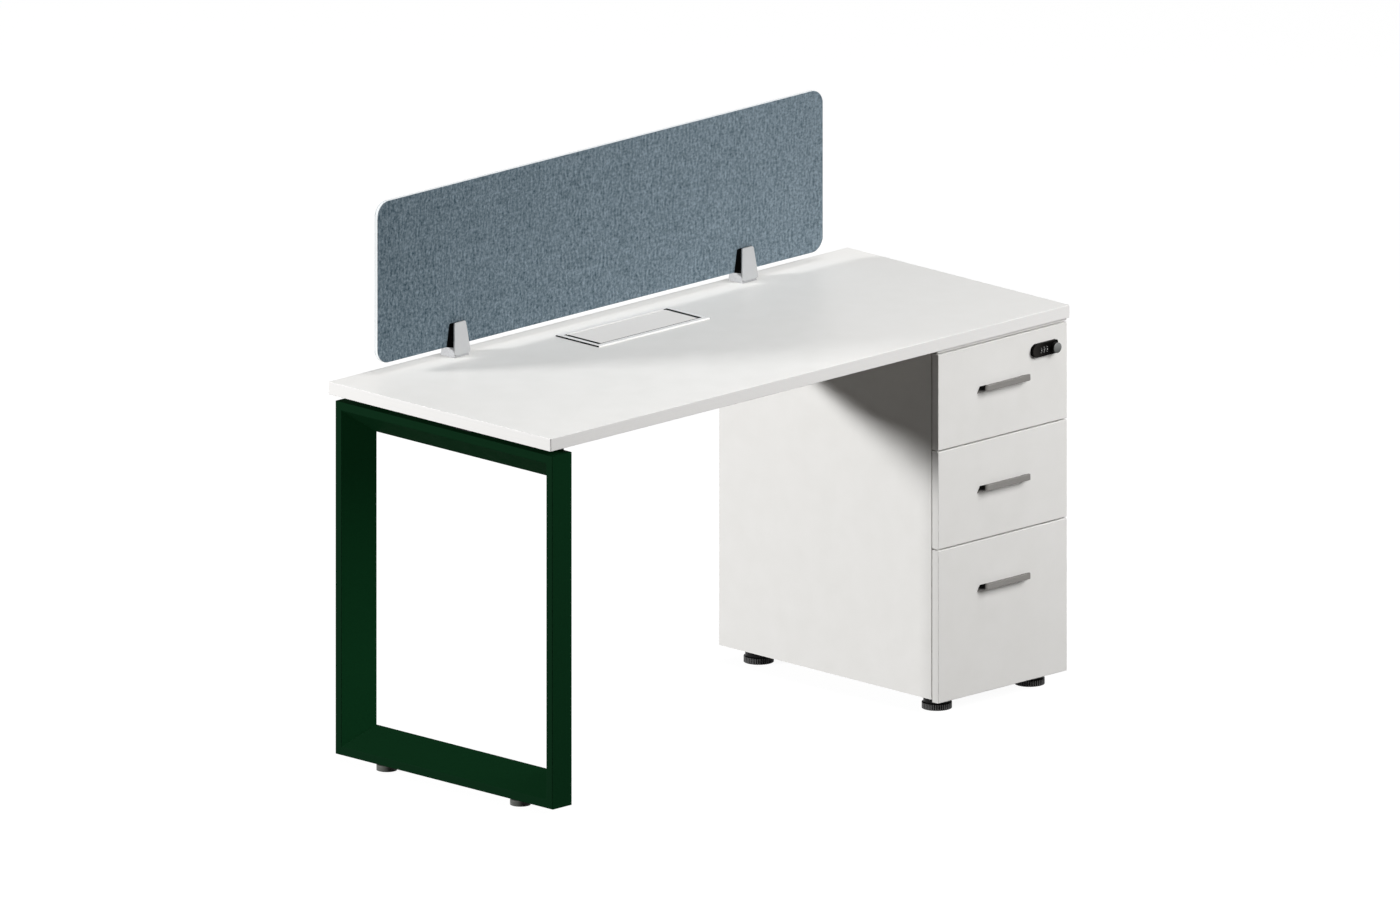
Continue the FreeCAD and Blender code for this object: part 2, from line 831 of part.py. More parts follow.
def lock_body():
    """Faceplate and housing, bored for the knob's shaft and slotted for the dials on their axle."""
    housing = block(lock_housing_span, (front_face, lock_back), around(lock_axis_z, lock_housing_height))
    body = join([lock_plate(), housing])
    bore_ends = [Vector(lock_axis_x, y, lock_axis_z) for y in (lock_face - overrun, lock_back + overrun)]
    body = body.cut(round_bar(*bore_ends, knob_shaft_diameter + 2 * knob_shaft_clearance))
    room = dial_thickness / 2 + dial_running_gap
    for x in dial_places:
        ends = [Vector(x + side * room, dial_axis_y, lock_axis_z) for side in (-1, 1)]
        body = body.cut(round_bar(*ends, dial_diameter + 2 * dial_running_gap))
    axle_ends = [
        Vector(x, dial_axis_y, lock_axis_z)
        for x in (dial_places[-1] - dial_thickness, dial_places[0] + dial_thickness)
    ]
    return join([body, round_bar(*axle_ends, dial_axle_diameter)])


def lock_dial(x):
    """Number wheel with a notch between its numbers."""
    ends = [Vector(x + side * dial_thickness / 2, dial_axis_y, lock_axis_z) for side in (-1, 1)]
    wheel = round_bar(*ends, dial_diameter)
    tools = [round_bar(*ends, dial_axle_diameter + 2 * dial_axle_clearance)]
    for turn in range(dial_notch_count):
        angle = 2 * math.pi * (turn + 1 / 2) / dial_notch_count
        shift = Vector(0, math.cos(angle), math.sin(angle)).multiply(dial_diameter / 2)
        tools.append(round_bar(ends[0].add(shift), ends[1].add(shift), dial_notch_diameter))
    return wheel.cut(tools)


def lock_knob():
    """Turning knob and its shaft."""
    knob_back = lock_face - knob_running_gap
    knob_front = knob_back - knob_height
    knob_middle = (knob_front + knob_back) / 2
    shaft_back = cam_back + knob_shaft_end
    front, middle, back, end = [
        Vector(lock_axis_x, y, lock_axis_z) for y in (knob_front, knob_middle, knob_back, shaft_back)
    ]
    disc = round_bar(front, back, knob_diameter)
    disc = disc.makeFillet(knob_edge_radius, edges_at(disc, y_axis, knob_front))
    return join([disc, round_bar(middle, end, knob_shaft_diameter)])


def lock_cam():
    """Cam on the shaft's end, lying level when the drawer is free."""
    start = Vector(lock_axis_x, cam_front, lock_axis_z)
    end = Vector(lock_axis_x, cam_back, lock_axis_z)
    arm_span = (lock_axis_x - cam_length, lock_axis_x)
    arm = block(arm_span, (cam_front, cam_back), around(lock_axis_z, cam_width))
    cam = join([arm, round_bar(start, end, cam_width)])
    return cam.cut(round_bar(start, end, knob_shaft_diameter + 2 * knob_shaft_clearance))


# Power box
def power_bezel():
    """Rim that lies on the board and a skirt that hangs through its cut-out."""
    rim = block(around(power_x, power_length), (power_front, power_back), (desk_height, bezel_top))
    rim = rim.makeChamfer(bezel_edge_chamfer, edges_at(rim, z_axis, bezel_top))
    skirt_span = (board_bottom, desk_height)
    skirt = block(around(power_x, skirt_length), around(power_middle, skirt_depth), skirt_span)
    opening = block(
        around(power_x, opening_length), (opening_front, opening_back),
        (board_bottom - overrun, bezel_top + overrun),
    )
    bores = []
    for side in (-1, 1):
        start = Vector(power_x + side * (opening_length / 2 - overrun), hinge_y, hinge_z)
        end = Vector(power_x + side * (opening_length / 2 + lid_pin_engagement), hinge_y, hinge_z)
        bores.append(round_bar(start, end, lid_pin_diameter + 2 * lid_pin_clearance))
    return join([rim, skirt]).cut([opening] + bores)


def power_lid():
    """Flat lid with a round hinge edge and a pin at each end of it."""
    plate = block(around(power_x, lid_length), (lid_front, hinge_y), (lid_top - lid_thickness, lid_top))
    barrel_ends = [Vector(power_x + side * lid_length / 2, hinge_y, hinge_z) for side in (-1, 1)]
    pin_reach = opening_length / 2 + lid_pin_engagement - lid_pin_end_gap
    pin_ends = [Vector(power_x + side * pin_reach, hinge_y, hinge_z) for side in (-1, 1)]
    return join([
        plate, round_bar(*barrel_ends, lid_barrel_diameter), round_bar(*pin_ends, lid_pin_diameter)
    ])


def power_tub():
    """Open tub under the bezel, with the mains inlet's gland in its back wall."""
    tub = block(
        around(power_x, skirt_length), around(power_middle, skirt_depth), (tub_bottom, board_bottom)
    )
    hollow = block(
        around(power_x, skirt_length - 2 * tub_wall), around(power_middle, skirt_depth - 2 * tub_wall),
        (tub_floor, board_bottom + overrun),
    )
    wall_y = power_middle + skirt_depth / 2
    gland_x = power_x + skirt_length / 2 - gland_diameter
    gland_z = (tub_bottom + board_bottom) / 2
    end_y = wall_y + gland_length
    ends = [Vector(gland_x, y, gland_z) for y in (wall_y, end_y)]
    bore_ends = [Vector(gland_x, y, gland_z) for y in (wall_y - tub_wall - overrun, end_y + overrun)]
    tub = join([tub.cut(hollow), round_bar(*ends, gland_diameter)])
    return tub.cut(round_bar(*bore_ends, gland_bore))


def power_sockets():
    """Bar of round sockets on the tub's floor, each with two contact slots."""
    length = skirt_length - 2 * tub_wall - 2 * socket_bar_margin
    depth = skirt_depth - 2 * tub_wall - 2 * socket_bar_side_gap
    top = tub_floor + socket_bar_height
    bar = block(around(power_x, length), around(power_middle, depth), (tub_floor, top))
    tools = []
    for number in range(socket_count):
        x = power_x + length * ((number + 1 / 2) / socket_count - 1 / 2)
        tools.append(upright(x, power_middle, (top - socket_recess, top + overrun), socket_diameter))
        for side in (-1, 1):
            slot_x = x + side * socket_slot_spacing / 2
            floor = top - socket_recess
            tools.append(block(
                around(slot_x, socket_slot_height), around(power_middle, socket_slot_width),
                (floor - socket_slot_depth, floor + overrun),
            ))
    return bar.cut(tools)


# Screen and clamps
def screen_sheet(y_span):
    """Upright plate of the screen's outline with round corners."""
    plate = block(screen_span, y_span, (screen_bottom, screen_bottom + screen_height))
    return plate.makeFillet(screen_corner_radius, edges_along(plate, y_axis))


def screen_fabric():
    """Fabric on the screen's two faces."""
    return Part.makeCompound([
        screen_sheet((screen_front, core_front)), screen_sheet((core_back, screen_back))
    ])


def clamp_front_at(level):
    """Depth of the clamp's sloped front at a height above the board."""
    share = level / clamp_height
    return screen_front - clamp_base_reach + (clamp_base_reach - clamp_top_reach) * share


def clamp_width_at(level):
    """Width of the clamp at a height above the board."""
    return clamp_base_width + (clamp_top_width - clamp_base_width) * level / clamp_height


def clamp_section(middle, level, inset, flare, y_span):
    """Corners of a level outline of a clamp piece, wider at the rear by a flare on each side."""
    left, right = around(middle, clamp_width_at(level) - 2 * inset)
    z = desk_height + level
    return [
        Vector(left, y_span[0], z), Vector(right, y_span[0], z),
        Vector(right + flare, y_span[1], z), Vector(left - flare, y_span[1], z),
    ]


def clamp_covers():
    """Tapered plates in front of the screen, with round corners."""
    covers = []
    for middle in clamp_places:
        sections = []
        for level in (clamp_cover_lift, clamp_height):
            front = clamp_front_at(level)
            sections.append(clamp_section(middle, level, 0, 0, (front, front + clamp_cover_thickness)))
        cover = span_between(*sections)
        bottom, top = desk_height + clamp_cover_lift, desk_height + clamp_height
        cover = cover.makeFillet(clamp_corner_radius, edges_at_both(cover, y_axis, z_axis, bottom))
        covers.append(cover.makeFillet(clamp_top_radius, edges_at_both(cover, y_axis, z_axis, top)))
    return Part.makeCompound(covers)


def clamp_pads():
    """Flared wedges between the covers and the screen, standing on the clamp bodies."""
    pads = []
    top_level = clamp_height - clamp_pad_inset
    top = desk_height + top_level
    for middle in clamp_places:
        sections = []
        for level, flare in ((screen_gap, clamp_pad_base_flare), (top_level, clamp_pad_top_flare)):
            back = clamp_front_at(level) + clamp_cover_thickness
            sections.append(clamp_section(middle, level, clamp_pad_inset, flare, (back, screen_front)))
        pad = span_between(*sections)
        rear = [
            edge for edge in edges_at_both(pad, x_axis, y_axis, screen_front)
            if abs(edge.CenterOfMass.z - top) < touch_distance
        ]
        pads.append(pad.makeFillet(clamp_pad_radius, rear))
    return Part.makeCompound(pads)


def clamp_bodies():
    """Foot under the screen and tapered jaw behind it, in one casting."""
    bodies = []
    jaw_back = screen_back + clamp_back_depth
    for middle in clamp_places:
        front = clamp_front_at(0) + clamp_cover_thickness
        foot_x = around(middle, clamp_width_at(screen_gap) - 2 * clamp_body_inset)
        slope_front = clamp_front_at(screen_gap) + clamp_cover_thickness
        corners = [
            Vector(foot_x[0], front, desk_height),
            Vector(foot_x[0], jaw_back, desk_height),
            Vector(foot_x[0], jaw_back - clamp_back_taper, desk_height + clamp_back_height),
            Vector(foot_x[0], screen_back, desk_height + clamp_back_height),
            Vector(foot_x[0], screen_back, screen_bottom),
            Vector(foot_x[0], slope_front, screen_bottom),
        ]
        face = Part.Face(Part.makePolygon(corners + corners[:1]))
        body = face.extrude(Vector(foot_x[1] - foot_x[0], 0, 0))
        top = edges_at(body, z_axis, desk_height + clamp_back_height)
        bodies.append(body.makeFillet(clamp_edge_radius, top).cut(screw_holes()))
    return Part.makeCompound(bodies)


def build_nodes():
    """Every node of the workstation, by name."""
    nodes = {
        "desktop_board": desktop_board(),
        "desktop_edge_band": desktop_edge_band(),
        "leg_front_post": leg_front_post(),
        "leg_back_post": leg_back_post(),
        "leg_top_rail": leg_top_rail(),
        "leg_bottom_rail": leg_bottom_rail(),
        "leg_foot_inserts": leg_foot_inserts(),
        "leg_brackets": leg_brackets(),
        "support_beam": support_beam(),
        "fixing_screws": fixing_screws(),
        "pedestal_left_side": pedestal_side((pedestal_left, inner_left)),
        "pedestal_right_side": pedestal_side((inner_right, pedestal_right)),
        "pedestal_bottom": pedestal_bottom(),
        "pedestal_top": pedestal_top(),
        "pedestal_back": pedestal_back(),
        "pedestal_foot_collars": pedestal_foot_collars(),
        "runner_cabinet_members": runner_cabinet_members(),
        "lock_body": lock_body(),
        "lock_knob": lock_knob(),
        "lock_cam": lock_cam(),
        "power_bezel": power_bezel(),
        "power_lid": power_lid(),
        "power_tub": power_tub(),
        "power_sockets": power_sockets(),
        "screen_core": screen_sheet((core_front, core_back)),
        "screen_fabric": screen_fabric(),
        "clamp_bodies": clamp_bodies(),
        "clamp_covers": clamp_covers(),
        "clamp_pads": clamp_pads(),
    }
    for name, y in leg_foot_places.items():
        nodes["leg_" + name + "_foot"] = leg_foot(y)
    for name, (x, y) in pedestal_foot_places().items():
        nodes["pedestal_" + name + "_foot"] = pedestal_foot(x, y)
    for number, x in enumerate(dial_places):
        nodes["lock_dial_" + str(number + 1)] = lock_dial(x)
    for name in drawers:
        nodes[name + "_drawer_front"] = drawer_front(name)
        nodes[name + "_drawer_sides"] = drawer_sides(name)
        nodes[name + "_drawer_back"] = drawer_back_board(name)
        nodes[name + "_drawer_bottom"] = drawer_bottom(name)
        nodes[name + "_handle"] = handle(name)
        nodes[name + "_runner_middle"] = runner_middle(name)
        nodes[name + "_runner_inner"] = runner_inner(name)
    return nodes


os.makedirs("parts", exist_ok=True)
for node_name, shape in build_nodes().items():
    volumes = [round(solid.Volume) for solid in shape.Solids]
    print(node_name, "valid" if shape.isValid() else "NOT VALID", volumes)
    shape.exportStep("parts/" + node_name + ".step")
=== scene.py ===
# %% [markdown]
# # Office workstation
# A white desk stands on one green loop leg and one drawer pedestal. A fabric screen is
# clamped to its back edge and a flip-top power box sits in the board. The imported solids
# are the frame: they already have every panel, tube, drawer and hinge in place, so this
# lesson dresses them with finishes, and adds the pieces that solids can't show well.

# %% Load the frame
import math

import bmesh
import bpy
import numpy as np
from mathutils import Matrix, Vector


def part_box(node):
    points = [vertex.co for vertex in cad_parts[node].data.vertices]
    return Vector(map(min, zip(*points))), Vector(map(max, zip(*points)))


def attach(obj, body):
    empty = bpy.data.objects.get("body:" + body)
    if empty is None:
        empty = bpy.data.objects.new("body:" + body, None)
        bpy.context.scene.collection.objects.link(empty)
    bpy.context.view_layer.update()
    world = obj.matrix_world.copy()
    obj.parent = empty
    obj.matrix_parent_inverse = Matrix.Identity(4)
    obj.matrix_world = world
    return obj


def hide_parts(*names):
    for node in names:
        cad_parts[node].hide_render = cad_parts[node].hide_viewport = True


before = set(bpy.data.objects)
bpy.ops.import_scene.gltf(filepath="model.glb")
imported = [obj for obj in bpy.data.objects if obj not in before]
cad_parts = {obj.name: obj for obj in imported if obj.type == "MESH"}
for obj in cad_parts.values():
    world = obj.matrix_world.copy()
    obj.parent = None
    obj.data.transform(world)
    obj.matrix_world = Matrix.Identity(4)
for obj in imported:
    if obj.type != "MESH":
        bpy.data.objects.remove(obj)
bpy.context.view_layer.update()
scene = bpy.context.scene
scene.view_settings.view_transform = "Standard"
MM = 0.001

# %% [markdown]
# ## Camera
# The picture has no vanishing points: edges that are parallel on the desk stay parallel.
# So the camera is orthographic. It stands 45 degrees to the left of the front and looks
# down by 15 degrees. Its scale is the one at which the desk is 1400 mm long.

# %% Camera
PICTURE_WIDTH = 1400
PIXELS_PER_MM = 0.52463
LOOKS_AT = Vector((0.4347, 0.43935, 0.375))
CAMERA_DISTANCE = 7
CAMERA_REACH = 60
turn, tilt = math.radians(-45), math.radians(15)
TO_CAMERA = Vector((math.sin(turn) * math.cos(tilt), -math.cos(turn) * math.cos(tilt), math.sin(tilt)))

camera_data = bpy.data.cameras.new("camera")
camera_data.type = "ORTHO"
camera_data.ortho_scale = PICTURE_WIDTH / PIXELS_PER_MM * MM
camera_data.clip_end = CAMERA_REACH
camera = bpy.data.objects.new("camera", camera_data)
camera.location = LOOKS_AT + TO_CAMERA * CAMERA_DISTANCE
camera.rotation_mode = "QUATERNION"
camera.rotation_quaternion = (-TO_CAMERA).to_track_quat("-Z", "Y")
scene.collection.objects.link(camera)
scene.camera = camera
print("camera: one picture width is", round(camera_data.ortho_scale, 4), "m")

# %% [markdown]
# ## Studio
# Three softboxes make the light. The first stands far behind the left end, so the left faces
# are the brightest and the board throws a shadow with a soft edge on the pedestal's side. The
# second hangs in front, to the right and above, for the drawer fronts and the cloth. The third
# hangs overhead and fills the top. The floor and the world are white to the camera, and much
# darker as light sources, so that they don't wash out the shadows under the board.

# %% Helpers for colours and nodes
def colour(code):
    """Linear colour of an sRGB hex code: c / 12.92 below 0.04045, else ((c + 0.055) / 1.055) ^ 2.4."""
    values = np.array([int(code[start:start + 2], 16) for start in (1, 3, 5)]) / 255
    linear = np.where(values <= 0.04045, values / 12.92, ((values + 0.055) / 1.055) ** 2.4)
    return (*linear.tolist(), 1.0)


def add(tree, kind, inputs=None, **settings):
    """Adds a node. Each input is a value, or another node's output to link."""
    node = tree.nodes.new(kind)
    for name, value in settings.items():
        setattr(node, name, value)
    for name, value in (inputs or {}).items():
        if isinstance(value, bpy.types.NodeSocket):
            tree.links.new(value, node.inputs[name])
        else:
            node.inputs[name].default_value = value
    return node


def new_tree(name):
    """An empty material and its node tree."""
    material = bpy.data.materials.new(name)
    material.use_nodes = True
    material.node_tree.nodes.clear()
    return material, material.node_tree


# %% Softboxes
# Each has a name, a direction from the desk, its distance, width and height in metres, and watts.
SOFTBOXES = (("back_left_softbox", (-1.2, 0.8, 0.345), 12.0, 2.2, 1.0, 1640),
             ("front_softbox", (0.45, -1.00, 0.60), 5.5, 3.0, 3.0, 274),
             ("overhead_softbox", (0.05, -0.10, 1.00), 5.0, 3.0, 3.0, 98))
DESK_MIDDLE = Vector((0, 0, 0.6))


def softbox(name, towards, distance, width, height, power):
    """Area lamp in a direction from the desk's middle, facing it."""
    data = bpy.data.lights.new(name, "AREA")
    data.shape = "RECTANGLE"
    data.size = width
    data.size_y = height
    data.energy = power
    lamp = bpy.data.objects.new(name, data)
    direction = Vector(towards).normalized()
    lamp.location = DESK_MIDDLE + direction * distance
    lamp.rotation_mode = "QUATERNION"
    lamp.rotation_quaternion = direction.to_track_quat("Z", "Y")
    scene.collection.objects.link(lamp)


for settings in SOFTBOXES:
    softbox(*settings)

# %% World and floor
AMBIENT_LIGHT = 0.035
FLOOR_PAINT = (0.082, 0.075, 0.069, 1)
FLOOR_SHADE = (0.12, 0.12, 0.12, 1)
FLOOR_GLOW = 0.95
FLOOR_HALF = 30
WHITE = (1, 1, 1, 1)
world = bpy.data.worlds.new("studio")
world.use_nodes = True
scene.world = world
tree = world.node_tree
tree.nodes.clear()
rays = add(tree, "ShaderNodeLightPath")
seen = add(tree, "ShaderNodeMath", {0: rays.outputs["Is Camera Ray"], 1: rays.outputs["Is Glossy Ray"]},
           operation="MAXIMUM")
seen = add(tree, "ShaderNodeMath", {0: seen.outputs[0], 1: rays.outputs["Is Transmission Ray"]},
           operation="MAXIMUM")
ambient = add(tree, "ShaderNodeBackground", {"Color": WHITE, "Strength": AMBIENT_LIGHT})
backdrop = add(tree, "ShaderNodeBackground", {"Color": WHITE, "Strength": 1.0})
mixed = add(tree, "ShaderNodeMixShader", {
    0: seen.outputs[0], 1: ambient.outputs[0], 2: backdrop.outputs[0]})
add(tree, "ShaderNodeOutputWorld", {"Surface": mixed.outputs[0]})

material, tree = new_tree("studio_floor")
rays = add(tree, "ShaderNodeLightPath")
paint = add(tree, "ShaderNodeBsdfDiffuse", {"Color": FLOOR_PAINT})
white = add(tree, "ShaderNodeEmission", {"Color": WHITE, "Strength": FLOOR_GLOW})
shade = add(tree, "ShaderNodeBsdfDiffuse", {"Color": FLOOR_SHADE})
shown = add(tree, "ShaderNodeAddShader", {0: white.outputs[0], 1: shade.outputs[0]})
seen = add(tree, "ShaderNodeMath", {0: rays.outputs["Is Camera Ray"], 1: rays.outputs["Is Glossy Ray"]},
           operation="MAXIMUM")
seen = add(tree, "ShaderNodeMath", {0: seen.outputs[0], 1: rays.outputs["Is Transmission Ray"]},
           operation="MAXIMUM")
mixed = add(tree, "ShaderNodeMixShader", {0: seen.outputs[0], 1: paint.outputs[0], 2: shown.outputs[0]})
add(tree, "ShaderNodeOutputMaterial", {"Surface": mixed.outputs[0]})
floor_mesh = bpy.data.meshes.new("floor")
corners = [(-FLOOR_HALF, -FLOOR_HALF, 0), (FLOOR_HALF, -FLOOR_HALF, 0), (FLOOR_HALF, FLOOR_HALF, 0),
           (-FLOOR_HALF, FLOOR_HALF, 0)]
floor_mesh.from_pydata(corners, [], [(0, 1, 2, 3)])
floor_mesh.materials.append(material)
floor = bpy.data.objects.new("floor", floor_mesh)
scene.collection.objects.link(floor)
print("floor and world are ready")

# %% [markdown]
# ## White melamine
# The board, the pedestal and the drawers are particle board faced with melamine paper: white
# resin, pressed hot against a steel plate with a fine pearl grain. It could be one flat white,
# but then every large panel looks like paper. So a slow noise makes the white and the gloss a
# little uneven, as a pressed sheet is, and a fine one gives the pearl grain as relief. Both
# read Object coordinates, so the grain runs on over neighbouring panels at one size.

# %% Dressing the solids
def dress(material, *names):
    """Puts a finish on solids of the frame."""
    for name in names:
        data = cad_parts[name].data
        data.materials.clear()
        data.materials.append(material)
    print(material.name, "on", len(names), "solids")


DRAWERS = ("upper", "middle", "lower")

# %% White melamine
# Pressed resin paper: matt white with a soft, wide sheen. The pearl of a real plate is about
# 0.4 mm and is drawn at 1.4 mm, so that it shows.
CLOUD = 45.0
PEARL = 1.4
PEARL_RELIEF = 0.02
white_melamine, tree = new_tree("white_melamine")
place = add(tree, "ShaderNodeTexCoord").outputs["Object"]
cloud = add(tree, "ShaderNodeTexNoise", {"Vector": place, "Scale": 1 / (CLOUD * MM), "Detail": 3.0})
pearl = add(tree, "ShaderNodeTexNoise", {"Vector": place, "Scale": 1 / (PEARL * MM), "Detail": 2.0})
paper = add(tree, "ShaderNodeMix", {0: cloud.outputs[0], 6: colour("#e6e5e2"), 7: colour("#ecebe9")},
            data_type="RGBA")
gloss = add(tree, "ShaderNodeMapRange", {"Value": cloud.outputs[0], "To Min": 0.36, "To Max": 0.50})
relief = add(tree, "ShaderNodeBump", {"Height": pearl.outputs[0], "Distance": PEARL_RELIEF * MM})
shader = add(tree, "ShaderNodeBsdfPrincipled", {
    "Base Color": paper.outputs[2], "Roughness": gloss.outputs[0], "Specular IOR Level": 0.25,
    "Normal": relief.outputs[0]})
add(tree, "ShaderNodeOutputMaterial", {"Surface": shader.outputs[0]})
dress(white_melamine, "desktop_board", "pedestal_left_side", "pedestal_right_side", "pedestal_bottom",
      "pedestal_top", "pedestal_back", *[drawer + "_drawer_front" for drawer in DRAWERS],
      *[drawer + "_drawer_sides" for drawer in DRAWERS],
      *[drawer + "_drawer_back" for drawer in DRAWERS],
      *[drawer + "_drawer_bottom" for drawer in DRAWERS])

# %% [markdown]
# ## Edge band
# The board's four edges carry a glued strip of white ABS, 2 mm thick, with its arrises milled
# round. The solid already has that strip and its rounding. The strip is extruded, so it is a
# little glossier than the melamine and has faint drawn lines along its length. A noise that is
# long in X and Y and short in Z draws those lines on all four sides at once.

# %% White ABS edge band
# Extruded strip: smooth, with a brighter arris. Drawn lines are 0.3 mm apart, drawn at 1.5 mm.
DRAWN_LINE = 1.5
DRAWN_RELIEF = 0.006
DRAWN_STRETCH = 0.02
white_edge, tree = new_tree("white_abs_edge_band")
place = add(tree, "ShaderNodeTexCoord").outputs["Object"]
drawn = add(tree, "ShaderNodeMapping", {"Vector": place, "Scale": (DRAWN_STRETCH, DRAWN_STRETCH, 1.0)})
lines = add(tree, "ShaderNodeTexNoise", {
    "Vector": drawn.outputs[0], "Scale": 1 / (DRAWN_LINE * MM), "Detail": 2.0})
shade = add(tree, "ShaderNodeMix", {0: lines.outputs[0], 6: colour("#e7e6e4"), 7: colour("#ecebea")},
            data_type="RGBA")
gloss = add(tree, "ShaderNodeMapRange", {"Value": lines.outputs[0], "To Min": 0.30, "To Max": 0.42})
relief = add(tree, "ShaderNodeBump", {"Height": lines.outputs[0], "Distance": DRAWN_RELIEF * MM})
shader = add(tree, "ShaderNodeBsdfPrincipled", {
    "Base Color": shade.outputs[2], "Roughness": gloss.outputs[0], "Specular IOR Level": 0.25,
    "Normal": relief.outputs[0]})
add(tree, "ShaderNodeOutputMaterial", {"Surface": shader.outputs[0]})
dress(white_edge, "desktop_edge_band")

# %% [markdown]
# ## Green powder coat
# The loop leg is steel tube, mitred, welded and powder coated in a very dark green. Powder melts
# into a skin with a slight orange peel. That relief could be modelled, but it is a tenth of a
# millimetre deep, so bump is enough. The green is painted light and shade: the back post gets a
# paler copy of the coat as painted light, the rails a darker one as painted shade, and the leg's
# outer face a darker green as painted shade. The coat is nearly matt, and a low specular level
# keeps the pale room from turning the dark paint grey at low angles.

# %% Green powder coat
# Baked powder on steel: deep green with a soft, pebbled sheen. Orange peel has cells of 2 mm. What
# lies within the outer face's depth of the leg's left side is the outer face, darker as painted shade.
OUTER_FACE = 0.8
PEEL = 2.0
PEEL_RELIEF = 0.05
COAT_CLOUD = 35.0
outer_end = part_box("leg_back_post")[0].x + OUTER_FACE * MM
# Three copies of one coat, as painted light and shade: the back post's is paler, the rails' darker.
for name, low_shade, high_shade, members in (
        ("green_powder_coat_painted_light", "#134023", "#194f2c", ("leg_back_post",)),
        ("green_powder_coat", "#0c2b17", "#10361e", ("leg_front_post",)),
        ("green_powder_coat_painted_shade", "#092512", "#0d2e19", ("leg_top_rail", "leg_bottom_rail"))):
    green_coat, tree = new_tree(name)
    place = add(tree, "ShaderNodeTexCoord").outputs["Object"]
    peel = add(tree, "ShaderNodeTexNoise", {"Vector": place, "Scale": 1 / (PEEL * MM), "Detail": 2.0})
    cloud = add(tree, "ShaderNodeTexNoise", {
        "Vector": place, "Scale": 1 / (COAT_CLOUD * MM), "Detail": 3.0})
    where = add(tree, "ShaderNodeSeparateXYZ", {"Vector": place})
    outer = add(tree, "ShaderNodeMath", {0: where.outputs["X"], 1: outer_end}, operation="LESS_THAN")
    # Painted shade: a darker green on the leg's outer face.
    outer_face_painted_shade = add(tree, "ShaderNodeMix", {0: peel.outputs[0], 6: colour("#0b2514"), 7: colour("#0f2d1a")},
                data_type="RGBA")
    painted_light_and_shade_tone = add(tree, "ShaderNodeMix", {0: peel.outputs[0], 6: colour(low_shade), 7: colour(high_shade)},
                data_type="RGBA")
    coat_tone = add(tree, "ShaderNodeMix", {0: outer.outputs[0], 6: painted_light_and_shade_tone.outputs[2], 7: outer_face_painted_shade.outputs[2]},
                data_type="RGBA")
    gloss = add(tree, "ShaderNodeMapRange", {"Value": cloud.outputs[0], "To Min": 0.62, "To Max": 0.80})
    relief = add(tree, "ShaderNodeBump", {"Height": peel.outputs[0], "Distance": PEEL_RELIEF * MM})
    shader = add(tree, "ShaderNodeBsdfPrincipled", {
        "Base Color": coat_tone.outputs[2], "Roughness": gloss.outputs[0], "Specular IOR Level": 0.004,
        "Normal": relief.outputs[0]})
    add(tree, "ShaderNodeOutputMaterial", {"Surface": shader.outputs[0]})
    dress(green_coat, *members)

# %% [markdown]
# ## Black powder coat
# The beam and the brackets under the board are plain steel in black powder coat. They are seen
# only from below, as a dark end over the leg, so their finish is the same peel in black.

# %% Black powder coat
# Baked powder on steel: charcoal with a soft sheen.
black_coat, tree = new_tree("black_powder_coat")
place = add(tree, "ShaderNodeTexCoord").outputs["Object"]
peel = add(tree, "ShaderNodeTexNoise", {"Vector": place, "Scale": 1 / (PEEL * MM), "Detail": 2.0})
coat_tone = add(tree, "ShaderNodeMix", {0: peel.outputs[0], 6: colour("#161617"), 7: colour("#212122")},
            data_type="RGBA")
gloss = add(tree, "ShaderNodeMapRange", {"Value": peel.outputs[0], "To Min": 0.48, "To Max": 0.62})
relief = add(tree, "ShaderNodeBump", {"Height": peel.outputs[0], "Distance": PEEL_RELIEF * MM})
shader = add(tree, "ShaderNodeBsdfPrincipled", {
    "Base Color": coat_tone.outputs[2], "Roughness": gloss.outputs[0], "Specular IOR Level": 0.1,
    "Normal": relief.outputs[0]})
add(tree, "ShaderNodeOutputMaterial", {"Surface": shader.outputs[0]})
dress(black_coat, "leg_brackets", "support_beam")

# %% [markdown]
# ## Zinc-plated steel
# Runners, screws, inserts and the lock's cam are rolled or turned steel with a thin layer of
# zinc. Zinc freezes in flat crystals, each with its own brightness, and rolling leaves fine lines
# along the runners. Voronoi cells give the crystals, and a noise stretched along Y the lines.

# %% Zinc-plated steel
# Blue-white plating: bright, with a patchwork of crystals about 6 mm wide.
CRYSTAL = 6.0
ROLLED_LINE = 0.8
ROLLED_RELIEF = 0.01
zinc, tree = new_tree("zinc_plated_steel")
place = add(tree, "ShaderNodeTexCoord").outputs["Object"]
crystals = add(tree, "ShaderNodeTexVoronoi", {"Vector": place, "Scale": 1 / (CRYSTAL * MM)})
tone = add(tree, "ShaderNodeSeparateColor", {"Color": crystals.outputs["Color"]})
rolled = add(tree, "ShaderNodeMapping", {"Vector": place, "Scale": (1.0, DRAWN_STRETCH, 1.0)})
lines = add(tree, "ShaderNodeTexNoise", {
    "Vector": rolled.outputs[0], "Scale": 1 / (ROLLED_LINE * MM), "Detail": 2.0})
plate = add(tree, "ShaderNodeMix", {0: tone.outputs[0], 6: colour("#b9bcc0"), 7: colour("#d2d5d8")},
            data_type="RGBA")
gloss = add(tree, "ShaderNodeMapRange", {"Value": lines.outputs[0], "To Min": 0.24, "To Max": 0.42})
relief = add(tree, "ShaderNodeBump", {"Height": lines.outputs[0], "Distance": ROLLED_RELIEF * MM})
shader = add(tree, "ShaderNodeBsdfPrincipled", {
    "Base Color": plate.outputs[2], "Roughness": gloss.outputs[0], "Metallic": 1.0,
    "Normal": relief.outputs[0]})
add(tree, "ShaderNodeOutputMaterial", {"Surface": shader.outputs[0]})
dress(zinc, "leg_foot_inserts", "fixing_screws", "runner_cabinet_members", "lock_cam",
      *[drawer + "_runner_middle" for drawer in DRAWERS],
      *[drawer + "_runner_inner" for drawer in DRAWERS])
